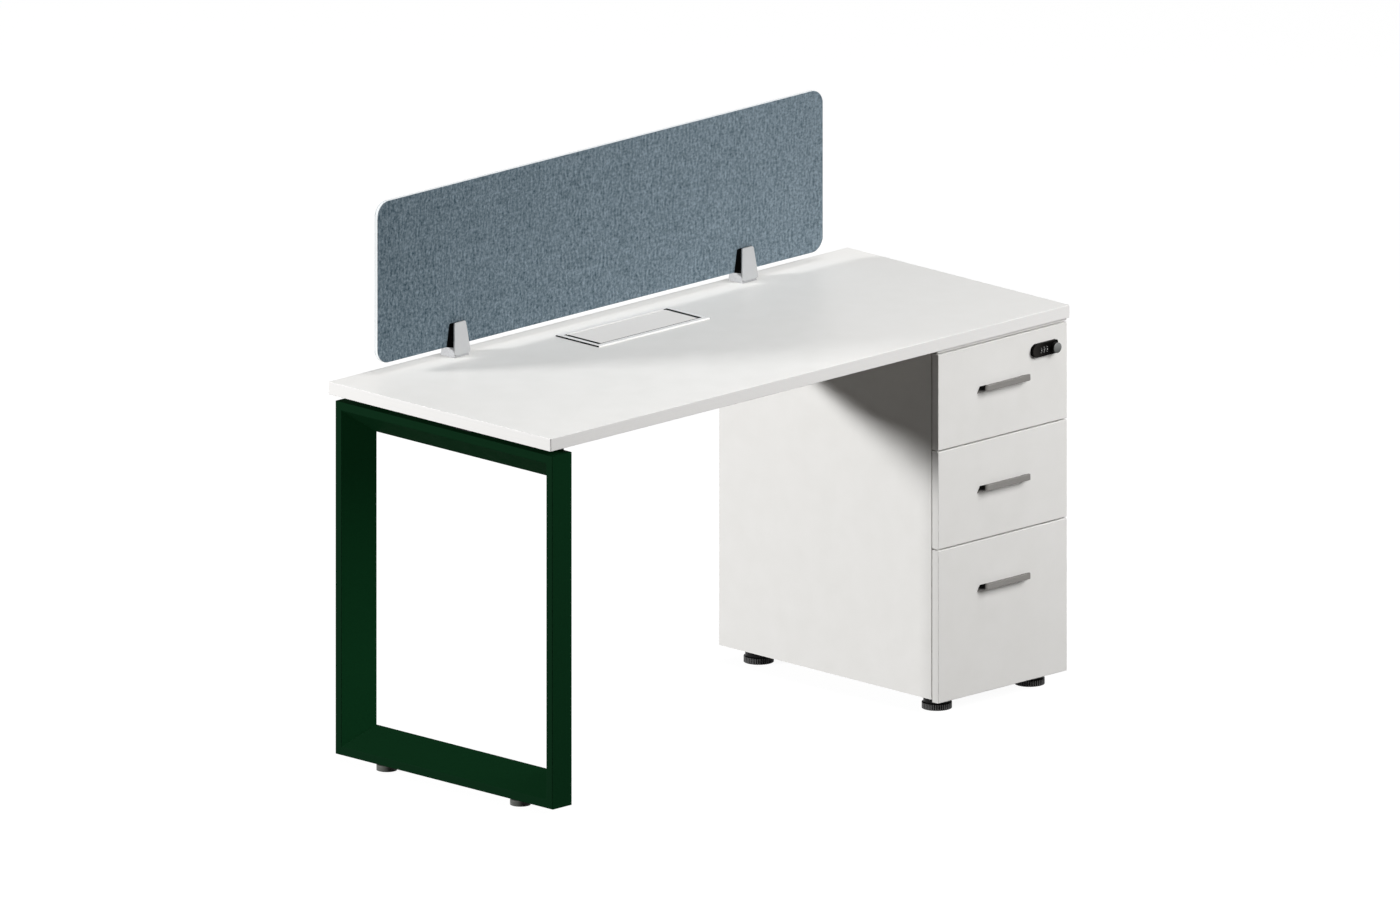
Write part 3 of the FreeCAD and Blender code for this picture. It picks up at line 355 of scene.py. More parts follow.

# %% [markdown]
# ## Satin nickel handles
# Each bow handle is a zinc casting, plated with nickel and brushed along the bar. The legs behind
# the bar are painted shade: near black there, fading to grey again under the bar, where their
# flared feet stand in the open. Painting that by hand would need a UV map, but place alone tells
# the zones apart: a ramp along Y starts at the bar's back, and a ramp along Z ends at its lower
# edge. The bars hang at three heights, so each handle gets its own ramp. A noise stretched along
# X draws the brush marks.

# %% Satin nickel
# Brushed plating: warm grey with long fine streaks. Brush marks are 0.2 mm, drawn at 0.9 mm.
BAR_DEPTH = 6.0
BAR_HEIGHT = 11.5
FOOT_FADE = 6.0
FADE_BEFORE = 1.5
FADE_AFTER = 1.0
FADE_UP = 1.8
BRUSH_MARK = 0.9
BRUSH_RELIEF = 0.01
BRUSH_STRETCH = 0.03
for drawer in DRAWERS:
    low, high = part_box(drawer + "_handle")
    bar_back = low.y + BAR_DEPTH * MM
    bar_bottom = high.z - BAR_HEIGHT * MM
    nickel, tree = new_tree("satin_nickel_" + drawer)
    place = add(tree, "ShaderNodeTexCoord").outputs["Object"]
    brushed = add(tree, "ShaderNodeMapping", {"Vector": place, "Scale": (BRUSH_STRETCH, 1.0, 1.0)})
    marks = add(tree, "ShaderNodeTexNoise", {
        "Vector": brushed.outputs[0], "Scale": 1 / (BRUSH_MARK * MM), "Detail": 3.0})
    where = add(tree, "ShaderNodeSeparateXYZ", {"Vector": place})
    behind = add(tree, "ShaderNodeMapRange", {
        "Value": where.outputs["Y"], "From Min": bar_back - FADE_BEFORE * MM,
        "From Max": bar_back + FADE_AFTER * MM})
    under = add(tree, "ShaderNodeMapRange", {
        "Value": where.outputs["Z"], "From Min": bar_bottom + FADE_UP * MM,
        "From Max": bar_bottom - FOOT_FADE * MM})
    bright = add(tree, "ShaderNodeMix", {
        0: marks.outputs[0], 6: colour("#757370"), 7: colour("#888683")}, data_type="RGBA")
    # Painted shade: the legs behind the bar are near black, turning grey towards their feet.
    painted_shade_legs = add(tree, "ShaderNodeMix", {0: under.outputs[0], 6: colour("#0a0a0a"), 7: colour("#8a8885")},
               data_type="RGBA")
    plate = add(tree, "ShaderNodeMix", {0: behind.outputs[0], 6: bright.outputs[2], 7: painted_shade_legs.outputs[2]},
                data_type="RGBA")
    gloss = add(tree, "ShaderNodeMapRange", {"Value": marks.outputs[0], "To Min": 0.26, "To Max": 0.40})
    relief = add(tree, "ShaderNodeBump", {"Height": marks.outputs[0], "Distance": BRUSH_RELIEF * MM})
    shader = add(tree, "ShaderNodeBsdfPrincipled", {
        "Base Color": plate.outputs[2], "Roughness": gloss.outputs[0], "Metallic": 1.0,
        "Normal": relief.outputs[0]})
    add(tree, "ShaderNodeOutputMaterial", {"Surface": shader.outputs[0]})
    dress(nickel, drawer + "_handle")

# %% [markdown]
# ## Silver lacquer
# The clamps' covers are in silver lacquer: clear binder full of aluminium flakes. The flakes are
# too small to see one by one, so they are a fine noise in the brightness and the gloss. The bodies
# behind them are castings left bare, so they get a duller grey and a dented skin.

# %% Silver lacquer
# Sprayed metallic lacquer: pale, soft silver with a faint sparkle. Flakes are drawn at 0.8 mm.
FLAKE = 0.8
FLAKE_RELIEF = 0.01
silver, tree = new_tree("silver_lacquer")
place = add(tree, "ShaderNodeTexCoord").outputs["Object"]
flakes = add(tree, "ShaderNodeTexNoise", {"Vector": place, "Scale": 1 / (FLAKE * MM), "Detail": 1.0})
shade = add(tree, "ShaderNodeMix", {0: flakes.outputs[0], 6: colour("#a9aaab"), 7: colour("#b7b8b9")},
            data_type="RGBA")
gloss = add(tree, "ShaderNodeMapRange", {"Value": flakes.outputs[0], "To Min": 0.42, "To Max": 0.58})
relief = add(tree, "ShaderNodeBump", {"Height": flakes.outputs[0], "Distance": FLAKE_RELIEF * MM})
shader = add(tree, "ShaderNodeBsdfPrincipled", {
    "Base Color": shade.outputs[2], "Roughness": gloss.outputs[0], "Metallic": 0.25,
    "Normal": relief.outputs[0]})
add(tree, "ShaderNodeOutputMaterial", {"Surface": shader.outputs[0]})
dress(silver, "clamp_covers")

# %% Bare zinc casting
# Clamp body as cast and tumbled: grey and satin, with a coarse, dented skin of about 3 mm.
DENT = 3.0
DENT_RELIEF = 0.15
casting, tree = new_tree("bare_zinc_casting")
place = add(tree, "ShaderNodeTexCoord").outputs["Object"]
dents = add(tree, "ShaderNodeTexNoise", {"Vector": place, "Scale": 1 / (DENT * MM), "Detail": 2.0})
shade = add(tree, "ShaderNodeMix", {0: dents.outputs[0], 6: colour("#8f9092"), 7: colour("#b4b5b7")},
            data_type="RGBA")
gloss = add(tree, "ShaderNodeMapRange", {"Value": dents.outputs[0], "To Min": 0.38, "To Max": 0.60})
relief = add(tree, "ShaderNodeBump", {"Height": dents.outputs[0], "Distance": DENT_RELIEF * MM})
shader = add(tree, "ShaderNodeBsdfPrincipled", {
    "Base Color": shade.outputs[2], "Roughness": gloss.outputs[0], "Metallic": 0.25,
    "Normal": relief.outputs[0]})
add(tree, "ShaderNodeOutputMaterial", {"Surface": shader.outputs[0]})
dress(casting, "clamp_bodies")

# %% [markdown]
# ## Black polyamide
# The pedestal's feet and collars and the power box's tub are injection moulded in black polyamide,
# and the leg's glides in a grey one. The tool is spark eroded, which leaves an even matt grain. The
# ribs round the feet are in the solids, so the finish only needs the grain and paler, rubbed spots,
# and on the ribs' crests a painted highlight.

# %% Black polyamide
# Moulded plastic: matt black, a little grey where it is rubbed. Grain of 0.3 mm is drawn at 1 mm.
MOULD_GRAIN = 1.0
MOULD_RELIEF = 0.02
RUBBED_SPOT = 12.0
black_polyamide, tree = new_tree("black_polyamide")
place = add(tree, "ShaderNodeTexCoord").outputs["Object"]
grain = add(tree, "ShaderNodeTexNoise", {
    "Vector": place, "Scale": 1 / (MOULD_GRAIN * MM), "Detail": 2.0})
greying = add(tree, "ShaderNodeTexNoise", {
    "Vector": place, "Scale": 1 / (RUBBED_SPOT * MM), "Detail": 3.0})
shade = add(tree, "ShaderNodeMix", {0: greying.outputs[0], 6: colour("#0a0a0a"), 7: colour("#171717")},
            data_type="RGBA")
gloss = add(tree, "ShaderNodeMapRange", {"Value": greying.outputs[0], "To Min": 0.42, "To Max": 0.28})
relief = add(tree, "ShaderNodeBump", {"Height": grain.outputs[0], "Distance": MOULD_RELIEF * MM})
shader = add(tree, "ShaderNodeBsdfPrincipled", {
    "Base Color": shade.outputs[2], "Roughness": gloss.outputs[0], "Specular IOR Level": 0.1,
    "Normal": relief.outputs[0]})
add(tree, "ShaderNodeOutputMaterial", {"Surface": shader.outputs[0]})
dress(black_polyamide, "pedestal_foot_collars", "power_tub")

# %% Grey polyamide
# The leg's glides are moulded in a grey batch: pale where the light meets them, dark in the lee.
grey_polyamide, tree = new_tree("grey_polyamide")
place = add(tree, "ShaderNodeTexCoord").outputs["Object"]
grain = add(tree, "ShaderNodeTexNoise", {
    "Vector": place, "Scale": 1 / (MOULD_GRAIN * MM), "Detail": 2.0})
greying = add(tree, "ShaderNodeTexNoise", {
    "Vector": place, "Scale": 1 / (RUBBED_SPOT * MM), "Detail": 3.0})
shade = add(tree, "ShaderNodeMix", {0: greying.outputs[0], 6: colour("#4c4e4b"), 7: colour("#6a6c68")},
            data_type="RGBA")
gloss = add(tree, "ShaderNodeMapRange", {"Value": greying.outputs[0], "To Min": 0.48, "To Max": 0.34})
relief = add(tree, "ShaderNodeBump", {"Height": grain.outputs[0], "Distance": MOULD_RELIEF * MM})
shader = add(tree, "ShaderNodeBsdfPrincipled", {
    "Base Color": shade.outputs[2], "Roughness": gloss.outputs[0], "Specular IOR Level": 0.1,
    "Normal": relief.outputs[0]})
add(tree, "ShaderNodeOutputMaterial", {"Surface": shader.outputs[0]})
dress(grey_polyamide, "leg_front_foot", "leg_back_foot")

# %% Ribbed feet
# The same polyamide, with a painted highlight: the ribs' crests are painted grey. A
# crest is where the distance from the foot's own axle is nearly its radius.
CREST = 0.5
for corner in ("front_left", "front_right", "back_left", "back_right"):
    node = "pedestal_" + corner + "_foot"
    low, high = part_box(node)
    axle = (low + high) / 2
    crest_radius = (high.x - low.x) / 2
    ribbed, tree = new_tree("polyamide_painted_highlight_" + corner)
    place = add(tree, "ShaderNodeTexCoord").outputs["Object"]
    centred = add(tree, "ShaderNodeMapping", {
        "Vector": place, "Location": (-axle.x, -axle.y, 0), "Scale": (1, 1, 0)})
    radius = add(tree, "ShaderNodeVectorMath", {0: centred.outputs[0]}, operation="LENGTH")
    crest = add(tree, "ShaderNodeMapRange", {
        "Value": radius.outputs["Value"], "From Min": crest_radius - CREST * MM,
        "From Max": crest_radius})
    grain = add(tree, "ShaderNodeTexNoise", {
        "Vector": place, "Scale": 1 / (MOULD_GRAIN * MM), "Detail": 2.0})
    # Painted highlight: the ribs' crests are painted grey.
    shade = add(tree, "ShaderNodeMix", {0: crest.outputs[0], 6: colour("#0a0a0a"), 7: colour("#6a6a6a")},
                data_type="RGBA")
    gloss = add(tree, "ShaderNodeMapRange", {"Value": grain.outputs[0], "To Min": 0.28, "To Max": 0.42})
    relief = add(tree, "ShaderNodeBump", {"Height": grain.outputs[0], "Distance": MOULD_RELIEF * MM})
    shader = add(tree, "ShaderNodeBsdfPrincipled", {
        "Base Color": shade.outputs[2], "Roughness": gloss.outputs[0], "Specular IOR Level": 0.1,
        "Normal": relief.outputs[0]})
    add(tree, "ShaderNodeOutputMaterial", {"Surface": shader.outputs[0]})
    dress(ribbed, node)

# %% [markdown]
# ## Rubber pads
# Between each clamp's cover and the screen is a flared pad of black rubber, which grips the cloth
# without marking it. Rubber soaks up light, so it is the darkest thing on the desk: its shape is in
# the solid, and its finish is a deep black with almost no gloss and a chalky, uneven bloom.

# %% Black rubber
# Pressed synthetic rubber: dead black with a faint dusty bloom in patches of 5 mm.
BLOOM = 5.0
BLOOM_RELIEF = 0.04
rubber, tree = new_tree("black_rubber")
place = add(tree, "ShaderNodeTexCoord").outputs["Object"]
bloom = add(tree, "ShaderNodeTexNoise", {"Vector": place, "Scale": 1 / (BLOOM * MM), "Detail": 4.0})
shade = add(tree, "ShaderNodeMix", {0: bloom.outputs[0], 6: colour("#040404"), 7: colour("#0d0d0e")},
            data_type="RGBA")
gloss = add(tree, "ShaderNodeMapRange", {"Value": bloom.outputs[0], "To Min": 0.75, "To Max": 0.95})
relief = add(tree, "ShaderNodeBump", {"Height": bloom.outputs[0], "Distance": BLOOM_RELIEF * MM})
shader = add(tree, "ShaderNodeBsdfPrincipled", {
    "Base Color": shade.outputs[2], "Roughness": gloss.outputs[0], "Specular IOR Level": 0.02,
    "Normal": relief.outputs[0]})
add(tree, "ShaderNodeOutputMaterial", {"Surface": shader.outputs[0]})
dress(rubber, "clamp_pads")

# %% [markdown]
# ## Combination lock
# The lock's case is black ABS from a polished tool, so it is smoother than the feet, and its face
# turns a little grey towards its left end. Its number wheels are black acetal. The knob is a
# black skirt with a grey cap pressed on its face: one solid, so a step along Y, just behind the
# face, parts the two colours.

# %% Black ABS lock case and wheels
# Moulded in a polished tool: near black, with a soft sheen. Handling marks are about 8 mm wide.
HANDLING_MARK = 8.0
GREYER_FROM = 34.0
GREYER_TO = 4.0
FACE_DEPTH = 0.6
WHEEL_LINE = 0.5
WHEEL_STRETCH = 0.05
case_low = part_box("lock_body")[0]
lock_case, tree = new_tree("black_abs_lock_case")
place = add(tree, "ShaderNodeTexCoord").outputs["Object"]
marks = add(tree, "ShaderNodeTexNoise", {
    "Vector": place, "Scale": 1 / (HANDLING_MARK * MM), "Detail": 3.0})
where = add(tree, "ShaderNodeSeparateXYZ", {"Vector": place})
# The face turns greyer towards its left end.
greyer_left_end = add(tree, "ShaderNodeMapRange", {
    "Value": where.outputs["X"], "From Min": case_low.x + GREYER_FROM * MM,
    "From Max": case_low.x + GREYER_TO * MM})
face = add(tree, "ShaderNodeMath", {0: where.outputs["Y"], 1: case_low.y + FACE_DEPTH * MM},
           operation="LESS_THAN")
greying = add(tree, "ShaderNodeMath", {0: greyer_left_end.outputs[0], 1: face.outputs[0]}, operation="MULTIPLY")
fresh = add(tree, "ShaderNodeMix", {0: marks.outputs[0], 6: colour("#060606"), 7: colour("#0d0c0c")},
            data_type="RGBA")
shade = add(tree, "ShaderNodeMix", {0: greying.outputs[0], 6: fresh.outputs[2], 7: colour("#2b2927")},
            data_type="RGBA")
gloss = add(tree, "ShaderNodeMapRange", {"Value": marks.outputs[0], "To Min": 0.34, "To Max": 0.48})
shader = add(tree, "ShaderNodeBsdfPrincipled", {
    "Base Color": shade.outputs[2], "Roughness": gloss.outputs[0], "Specular IOR Level": 0.02})
add(tree, "ShaderNodeOutputMaterial", {"Surface": shader.outputs[0]})
dress(lock_case, "lock_body")

wheel_acetal, tree = new_tree("black_acetal_wheel")
place = add(tree, "ShaderNodeTexCoord").outputs["Object"]
turned = add(tree, "ShaderNodeMapping", {"Vector": place, "Scale": (1.0, WHEEL_STRETCH, WHEEL_STRETCH)})
lines = add(tree, "ShaderNodeTexNoise", {
    "Vector": turned.outputs[0], "Scale": 1 / (WHEEL_LINE * MM), "Detail": 2.0})
shade = add(tree, "ShaderNodeMix", {0: lines.outputs[0], 6: colour("#0e0e0e"), 7: colour("#1c1c1d")},
            data_type="RGBA")
gloss = add(tree, "ShaderNodeMapRange", {"Value": lines.outputs[0], "To Min": 0.36, "To Max": 0.50})
shader = add(tree, "ShaderNodeBsdfPrincipled", {
    "Base Color": shade.outputs[2], "Roughness": gloss.outputs[0], "Specular IOR Level": 0.1})
add(tree, "ShaderNodeOutputMaterial", {"Surface": shader.outputs[0]})
dress(wheel_acetal, "lock_dial_1", "lock_dial_2", "lock_dial_3")

# %% Grey-capped knob
# Satin chrome cap on a black moulding: a grey face, finely turned, with painted light that makes it
# brighter towards its upper edge, and a black side.
knob_low, knob_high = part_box("lock_knob")
CAP_THICKNESS = 0.9
TURNED_GRAIN = 0.7
TURNED_RELIEF = 0.008
GRAIN_SHARE = 0.5
PAINTED_LIGHT_BELOW, PAINTED_LIGHT_ABOVE = -0.25, 0.75
knob_finish, tree = new_tree("grey_capped_knob")
place = add(tree, "ShaderNodeTexCoord").outputs["Object"]
where = add(tree, "ShaderNodeSeparateXYZ", {"Vector": place})
skirt = add(tree, "ShaderNodeMath", {0: where.outputs["Y"], 1: knob_low.y + CAP_THICKNESS * MM},
            operation="GREATER_THAN")
turned = add(tree, "ShaderNodeTexNoise", {
    "Vector": place, "Scale": 1 / (TURNED_GRAIN * MM), "Detail": 2.0})
# Painted light: the grey cap gets brighter towards its top.
painted_light_ramp = add(tree, "ShaderNodeMapRange", {
    "Value": where.outputs["Z"], "From Min": knob_low.z, "From Max": knob_high.z,
    "To Min": PAINTED_LIGHT_BELOW, "To Max": PAINTED_LIGHT_ABOVE})
grain_and_painted_light = add(tree, "ShaderNodeMath", {0: turned.outputs[0], 1: GRAIN_SHARE, 2: painted_light_ramp.outputs[0]},
             operation="MULTIPLY_ADD", use_clamp=True)
cap = add(tree, "ShaderNodeMix", {0: grain_and_painted_light.outputs[0], 6: colour("#525453"), 7: colour("#8c8e8d")},
          data_type="RGBA")
shade = add(tree, "ShaderNodeMix", {0: skirt.outputs[0], 6: cap.outputs[2], 7: colour("#0d0d0d")},
            data_type="RGBA")
gloss = add(tree, "ShaderNodeMapRange", {"Value": turned.outputs[0], "To Min": 0.40, "To Max": 0.55})
relief = add(tree, "ShaderNodeBump", {"Height": turned.outputs[0], "Distance": TURNED_RELIEF * MM})
shader = add(tree, "ShaderNodeBsdfPrincipled", {
    "Base Color": shade.outputs[2], "Roughness": gloss.outputs[0], "Specular IOR Level": 0.1,
    "Normal": relief.outputs[0]})
add(tree, "ShaderNodeOutputMaterial", {"Surface": shader.outputs[0]})
dress(knob_finish, "lock_knob")

# %% [markdown]
# ## Numbers on the wheels
# Every wheel carries the numbers 0 to 9, printed in white between its notches. A number could be
# cut into the solid, but print has no depth. So each is text made a flat mesh, cut finer, and bent
# round the wheel: height on the page becomes angle round the axle. It turns with its wheel.

# %% White printing ink
# Pad-printed ink: chalky white, worn a little thin in spots of about 1 mm.
WORN_SPOT = 1.0
ink, tree = new_tree("white_printing_ink")
place = add(tree, "ShaderNodeTexCoord").outputs["Object"]
worn = add(tree, "ShaderNodeTexNoise", {"Vector": place, "Scale": 1 / (WORN_SPOT * MM), "Detail": 2.0})
shade = add(tree, "ShaderNodeMix", {0: worn.outputs[0], 6: colour("#c4c5c3"), 7: colour("#eeeeec")},
            data_type="RGBA")
gloss = add(tree, "ShaderNodeMapRange", {"Value": worn.outputs[0], "To Min": 0.7, "To Max": 0.5})
shader = add(tree, "ShaderNodeBsdfPrincipled", {
    "Base Color": shade.outputs[2], "Roughness": gloss.outputs[0], "Specular IOR Level": 0.2})
add(tree, "ShaderNodeOutputMaterial", {"Surface": shader.outputs[0]})


# %% Printed numbers
NUMBERS = 10
NUMBER_STEP = math.radians(36)
NUMBER_HEIGHT = 4.8
INK_LIFT = 0.05
CURVE_STEPS = 3
EDGE_CUTS = 3


def flat_number(number, height):
    """Flat triangles of one number, centred on its page, with every edge cut in four."""
    page = bpy.data.curves.new("number", "FONT")
    page.body = str(number)
    page.size = height
    page.align_x, page.align_y = "CENTER", "CENTER"
    page.resolution_u = CURVE_STEPS
    sheet = bpy.data.objects.new("number", page)
    scene.collection.objects.link(sheet)
    mesh = bpy.data.meshes.new_from_object(sheet.evaluated_get(bpy.context.evaluated_depsgraph_get()))
    bpy.data.objects.remove(sheet)
    cut = bmesh.new()
    cut.from_mesh(mesh)
    bmesh.ops.triangulate(cut, faces=cut.faces)
    bmesh.ops.subdivide_edges(cut, edges=cut.edges, cuts=EDGE_CUTS, use_grid_fill=True)
    bmesh.ops.triangulate(cut, faces=cut.faces)
    cut.to_mesh(mesh)
    cut.free()
    points = np.zeros(len(mesh.vertices) * 3)
    mesh.vertices.foreach_get("co", points)
    corners = np.zeros(len(mesh.loops), np.int32)
    mesh.loops.foreach_get("vertex_index", corners)
    return points.reshape(-1, 3), corners.reshape(-1, 3)


def printed_wheel(node, body, height, lift):
    """Ten numbers bent round a wheel.

    With the wheel's radius r and number n, a page point (x, y) goes to the angle a = y / r + n * 36
    degrees, and from there to (middle + x, axle - (r + lift) * cos a, axle + (r + lift) * sin a).
    """
    low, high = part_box(node)
    middle = (low + high) / 2
    radius = (high.z - low.z) / 2
    points, triangles, count = [], [], 0
    for number in range(NUMBERS):
        page, corners = flat_number(number, height)
        angle = page[:, 1] / radius + NUMBER_STEP * number
        ring = radius + lift
        points.append(np.stack([middle.x + page[:, 0], middle.y - ring * np.cos(angle),
                                middle.z + ring * np.sin(angle)], -1))
        triangles.append(corners + count)
        count += len(page)
    mesh = bpy.data.meshes.new(node + "_numbers")
    mesh.from_pydata(np.concatenate(points).tolist(), [], np.concatenate(triangles).tolist())
    mesh.materials.append(ink)
    piece = bpy.data.objects.new(node + "_numbers", mesh)
    scene.collection.objects.link(piece)
    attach(piece, body)
    print(piece.name, len(mesh.polygons), "triangles on", body)


for wheel in (1, 2, 3):
    node = "lock_dial_%d" % wheel
    printed_wheel(node, node + "_wheel", NUMBER_HEIGHT * MM, INK_LIFT * MM)

# %% [markdown]
# ## Power box
# The rim and the lid are white lacquered aluminium sections. The thin dark lines at the lid's two
# ends, at the opening's end walls and at the rim's end are painted shade, drawn as near-black
# bands with no solids of their own: bands along X, inside the opening and at the very ends, mix
# the black in. A near-black line of painted shade on the lid's front edge stands for the gap
# behind the rim.

# %% White lacquered aluminium
# Sprayed lacquer on extruded metal: smooth white with a soft gloss and faint lines along X.
rim_low, rim_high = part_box("power_bezel")
RIM_WIDTH = 11.5
LID_END_SHADE = 8.5
RIM_END_SHADE = 0.9
FRONT_SHADE_LINE = 0.9
END_SHADE_OVERLAP = 0.4
WALL_MARGIN = 0.1
LACQUER_LINE = 1.2
rim_middle = (rim_low + rim_high) / 2
rim_half = (rim_high - rim_low) / 2
opening_half = rim_half - Vector((RIM_WIDTH, RIM_WIDTH, 0)) * MM
lid_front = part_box("power_lid")[0].y
for name, low_shade, high_shade, node, shade_line_to in (
        ("white_lacquered_rim", "#f1f0ee", "#f6f5f4", "power_bezel", rim_low.y - FRONT_SHADE_LINE * MM),
        ("white_lacquered_lid", "#f2efec", "#f6f3f0", "power_lid", lid_front + FRONT_SHADE_LINE * MM)):
    lacquer, tree = new_tree(name)
    place = add(tree, "ShaderNodeTexCoord").outputs["Object"]
    where = add(tree, "ShaderNodeSeparateXYZ", {"Vector": place})
    from_middle = add(tree, "ShaderNodeMath", {0: where.outputs["X"], 1: rim_middle.x},
                      operation="SUBTRACT")
    from_middle = add(tree, "ShaderNodeMath", {0: from_middle.outputs[0]}, operation="ABSOLUTE")
    # Painted shade: near-black bands at the lid's ends, the opening's end walls and the rim's ends, and
    # a line on the lid's front edge.
    at_lid_end = add(tree, "ShaderNodeMath", {
        0: from_middle.outputs[0], 1: opening_half.x + END_SHADE_OVERLAP * MM - LID_END_SHADE / 2 * MM,
        2: LID_END_SHADE / 2 * MM}, operation="COMPARE")
    in_opening = add(tree, "ShaderNodeMath", {
        0: where.outputs["Y"], 1: rim_middle.y, 2: opening_half.y + WALL_MARGIN * MM},
        operation="COMPARE")
    at_lid = add(tree, "ShaderNodeMath", {0: at_lid_end.outputs[0], 1: in_opening.outputs[0]},
                 operation="MULTIPLY")
    at_rim = add(tree, "ShaderNodeMath", {0: from_middle.outputs[0], 1: rim_half.x - RIM_END_SHADE * MM},
                 operation="GREATER_THAN")
    at_shade_line = add(tree, "ShaderNodeMath", {0: where.outputs["Y"], 1: shade_line_to}, operation="LESS_THAN")
    painted_shade_bands = add(tree, "ShaderNodeMath", {0: at_lid.outputs[0], 1: at_rim.outputs[0]},
                 operation="MAXIMUM")
    painted_shade_bands = add(tree, "ShaderNodeMath", {0: painted_shade_bands.outputs[0], 1: at_shade_line.outputs[0]},
                 operation="MAXIMUM")
    drawn = add(tree, "ShaderNodeMapping", {"Vector": place, "Scale": (DRAWN_STRETCH, 1.0, 1.0)})
    lines = add(tree, "ShaderNodeTexNoise", {
        "Vector": drawn.outputs[0], "Scale": 1 / (LACQUER_LINE * MM), "Detail": 2.0})
    white = add(tree, "ShaderNodeMix", {
        0: lines.outputs[0], 6: colour(low_shade), 7: colour(high_shade)}, data_type="RGBA")
    shade = add(tree, "ShaderNodeMix", {0: painted_shade_bands.outputs[0], 6: white.outputs[2], 7: colour("#0f0d0b")},
                data_type="RGBA")
    sheen = add(tree, "ShaderNodeMapRange", {"Value": painted_shade_bands.outputs[0], "To Min": 0.25, "To Max": 0.02})
    gloss = add(tree, "ShaderNodeMapRange", {"Value": lines.outputs[0], "To Min": 0.30, "To Max": 0.42})
    relief = add(tree, "ShaderNodeBump", {"Height": lines.outputs[0], "Distance": DRAWN_RELIEF * MM})
    shader = add(tree, "ShaderNodeBsdfPrincipled", {
        "Base Color": shade.outputs[2], "Roughness": gloss.outputs[0],
        "Specular IOR Level": sheen.outputs[0], "Normal": relief.outputs[0]})
    add(tree, "ShaderNodeOutputMaterial", {"Surface": shader.outputs[0]})
    dress(lacquer, node)

# %% [markdown]
# ## Sockets
# The socket bar under the lid is white polycarbonate, moulded with a slightly pebbled face. It
# shows only when the lid is up. The recesses and contact slots are in the solid.

# %% White polycarbonate
# Moulded plastic: warm white, half gloss, with a fine even grain of 0.5 mm, drawn at 1.2 mm.
SOCKET_GRAIN = 1.2
SOCKET_RELIEF = 0.01
socket_white, tree = new_tree("white_polycarbonate")
place = add(tree, "ShaderNodeTexCoord").outputs["Object"]
grain = add(tree, "ShaderNodeTexNoise", {
    "Vector": place, "Scale": 1 / (SOCKET_GRAIN * MM), "Detail": 2.0})
shade = add(tree, "ShaderNodeMix", {0: grain.outputs[0], 6: colour("#dfdeda"), 7: colour("#e6e5e1")},
            data_type="RGBA")
gloss = add(tree, "ShaderNodeMapRange", {"Value": grain.outputs[0], "To Min": 0.28, "To Max": 0.40})
relief = add(tree, "ShaderNodeBump", {"Height": grain.outputs[0], "Distance": SOCKET_RELIEF * MM})
shader = add(tree, "ShaderNodeBsdfPrincipled", {
    "Base Color": shade.outputs[2], "Roughness": gloss.outputs[0], "Normal": relief.outputs[0]})
add(tree, "ShaderNodeOutputMaterial", {"Surface": shader.outputs[0]})
dress(socket_white, "power_sockets")

# %% [markdown]
# ## Screen core
# Inside the cloth, the screen is a board of pale pressed felt, and its cut edge shows as a light
# line round the outline. Felt is a tangle of short fibres, so two noises at different sizes give
# it specks and a rough, thirsty surface.

# %% Pressed felt
# Polyester felt: pale, matt and fuzzy. Fibres of 0.05 mm are drawn as tufts of 1.2 mm.
TUFT = 1.2
TUFT_RELIEF = 0.2
FELT_PATCH = 9.0
felt, tree = new_tree("pale_pressed_felt")
place = add(tree, "ShaderNodeTexCoord").outputs["Object"]
tufts = add(tree, "ShaderNodeTexNoise", {"Vector": place, "Scale": 1 / (TUFT * MM), "Detail": 3.0})
patches = add(tree, "ShaderNodeTexNoise", {
    "Vector": place, "Scale": 1 / (FELT_PATCH * MM), "Detail": 2.0})
both = add(tree, "ShaderNodeMath", {0: tufts.outputs[0], 1: patches.outputs[0]}, operation="MULTIPLY")
shade = add(tree, "ShaderNodeMix", {0: both.outputs[0], 6: colour("#dfe3e5"), 7: colour("#f4f7f8")},
            data_type="RGBA")
gloss = add(tree, "ShaderNodeMapRange", {"Value": tufts.outputs[0], "To Min": 0.85, "To Max": 1.0})
relief = add(tree, "ShaderNodeBump", {"Height": tufts.outputs[0], "Distance": TUFT_RELIEF * MM})
shader = add(tree, "ShaderNodeBsdfPrincipled", {
    "Base Color": shade.outputs[2], "Roughness": gloss.outputs[0], "Specular IOR Level": 0.1,
    "Sheen Weight": 0.1, "Normal": relief.outputs[0]})
add(tree, "ShaderNodeOutputMaterial", {"Surface": shader.outputs[0]})
dress(felt, "screen_core")

# %% [markdown]
# ## Woven screen cloth
# Both faces of the screen are covered with a plain weave of melange yarn: fibres of several
# blue-greys are spun together, so every thread is flecked. From a few metres the threads melt
# together, and what stays is a grain of light and dark flecks, a little longer up the warp than
# across it, with long faint streaks where one warp thread is paler than its neighbours. The cloth
# has its own UV map in metres, so all these sizes are real ones.

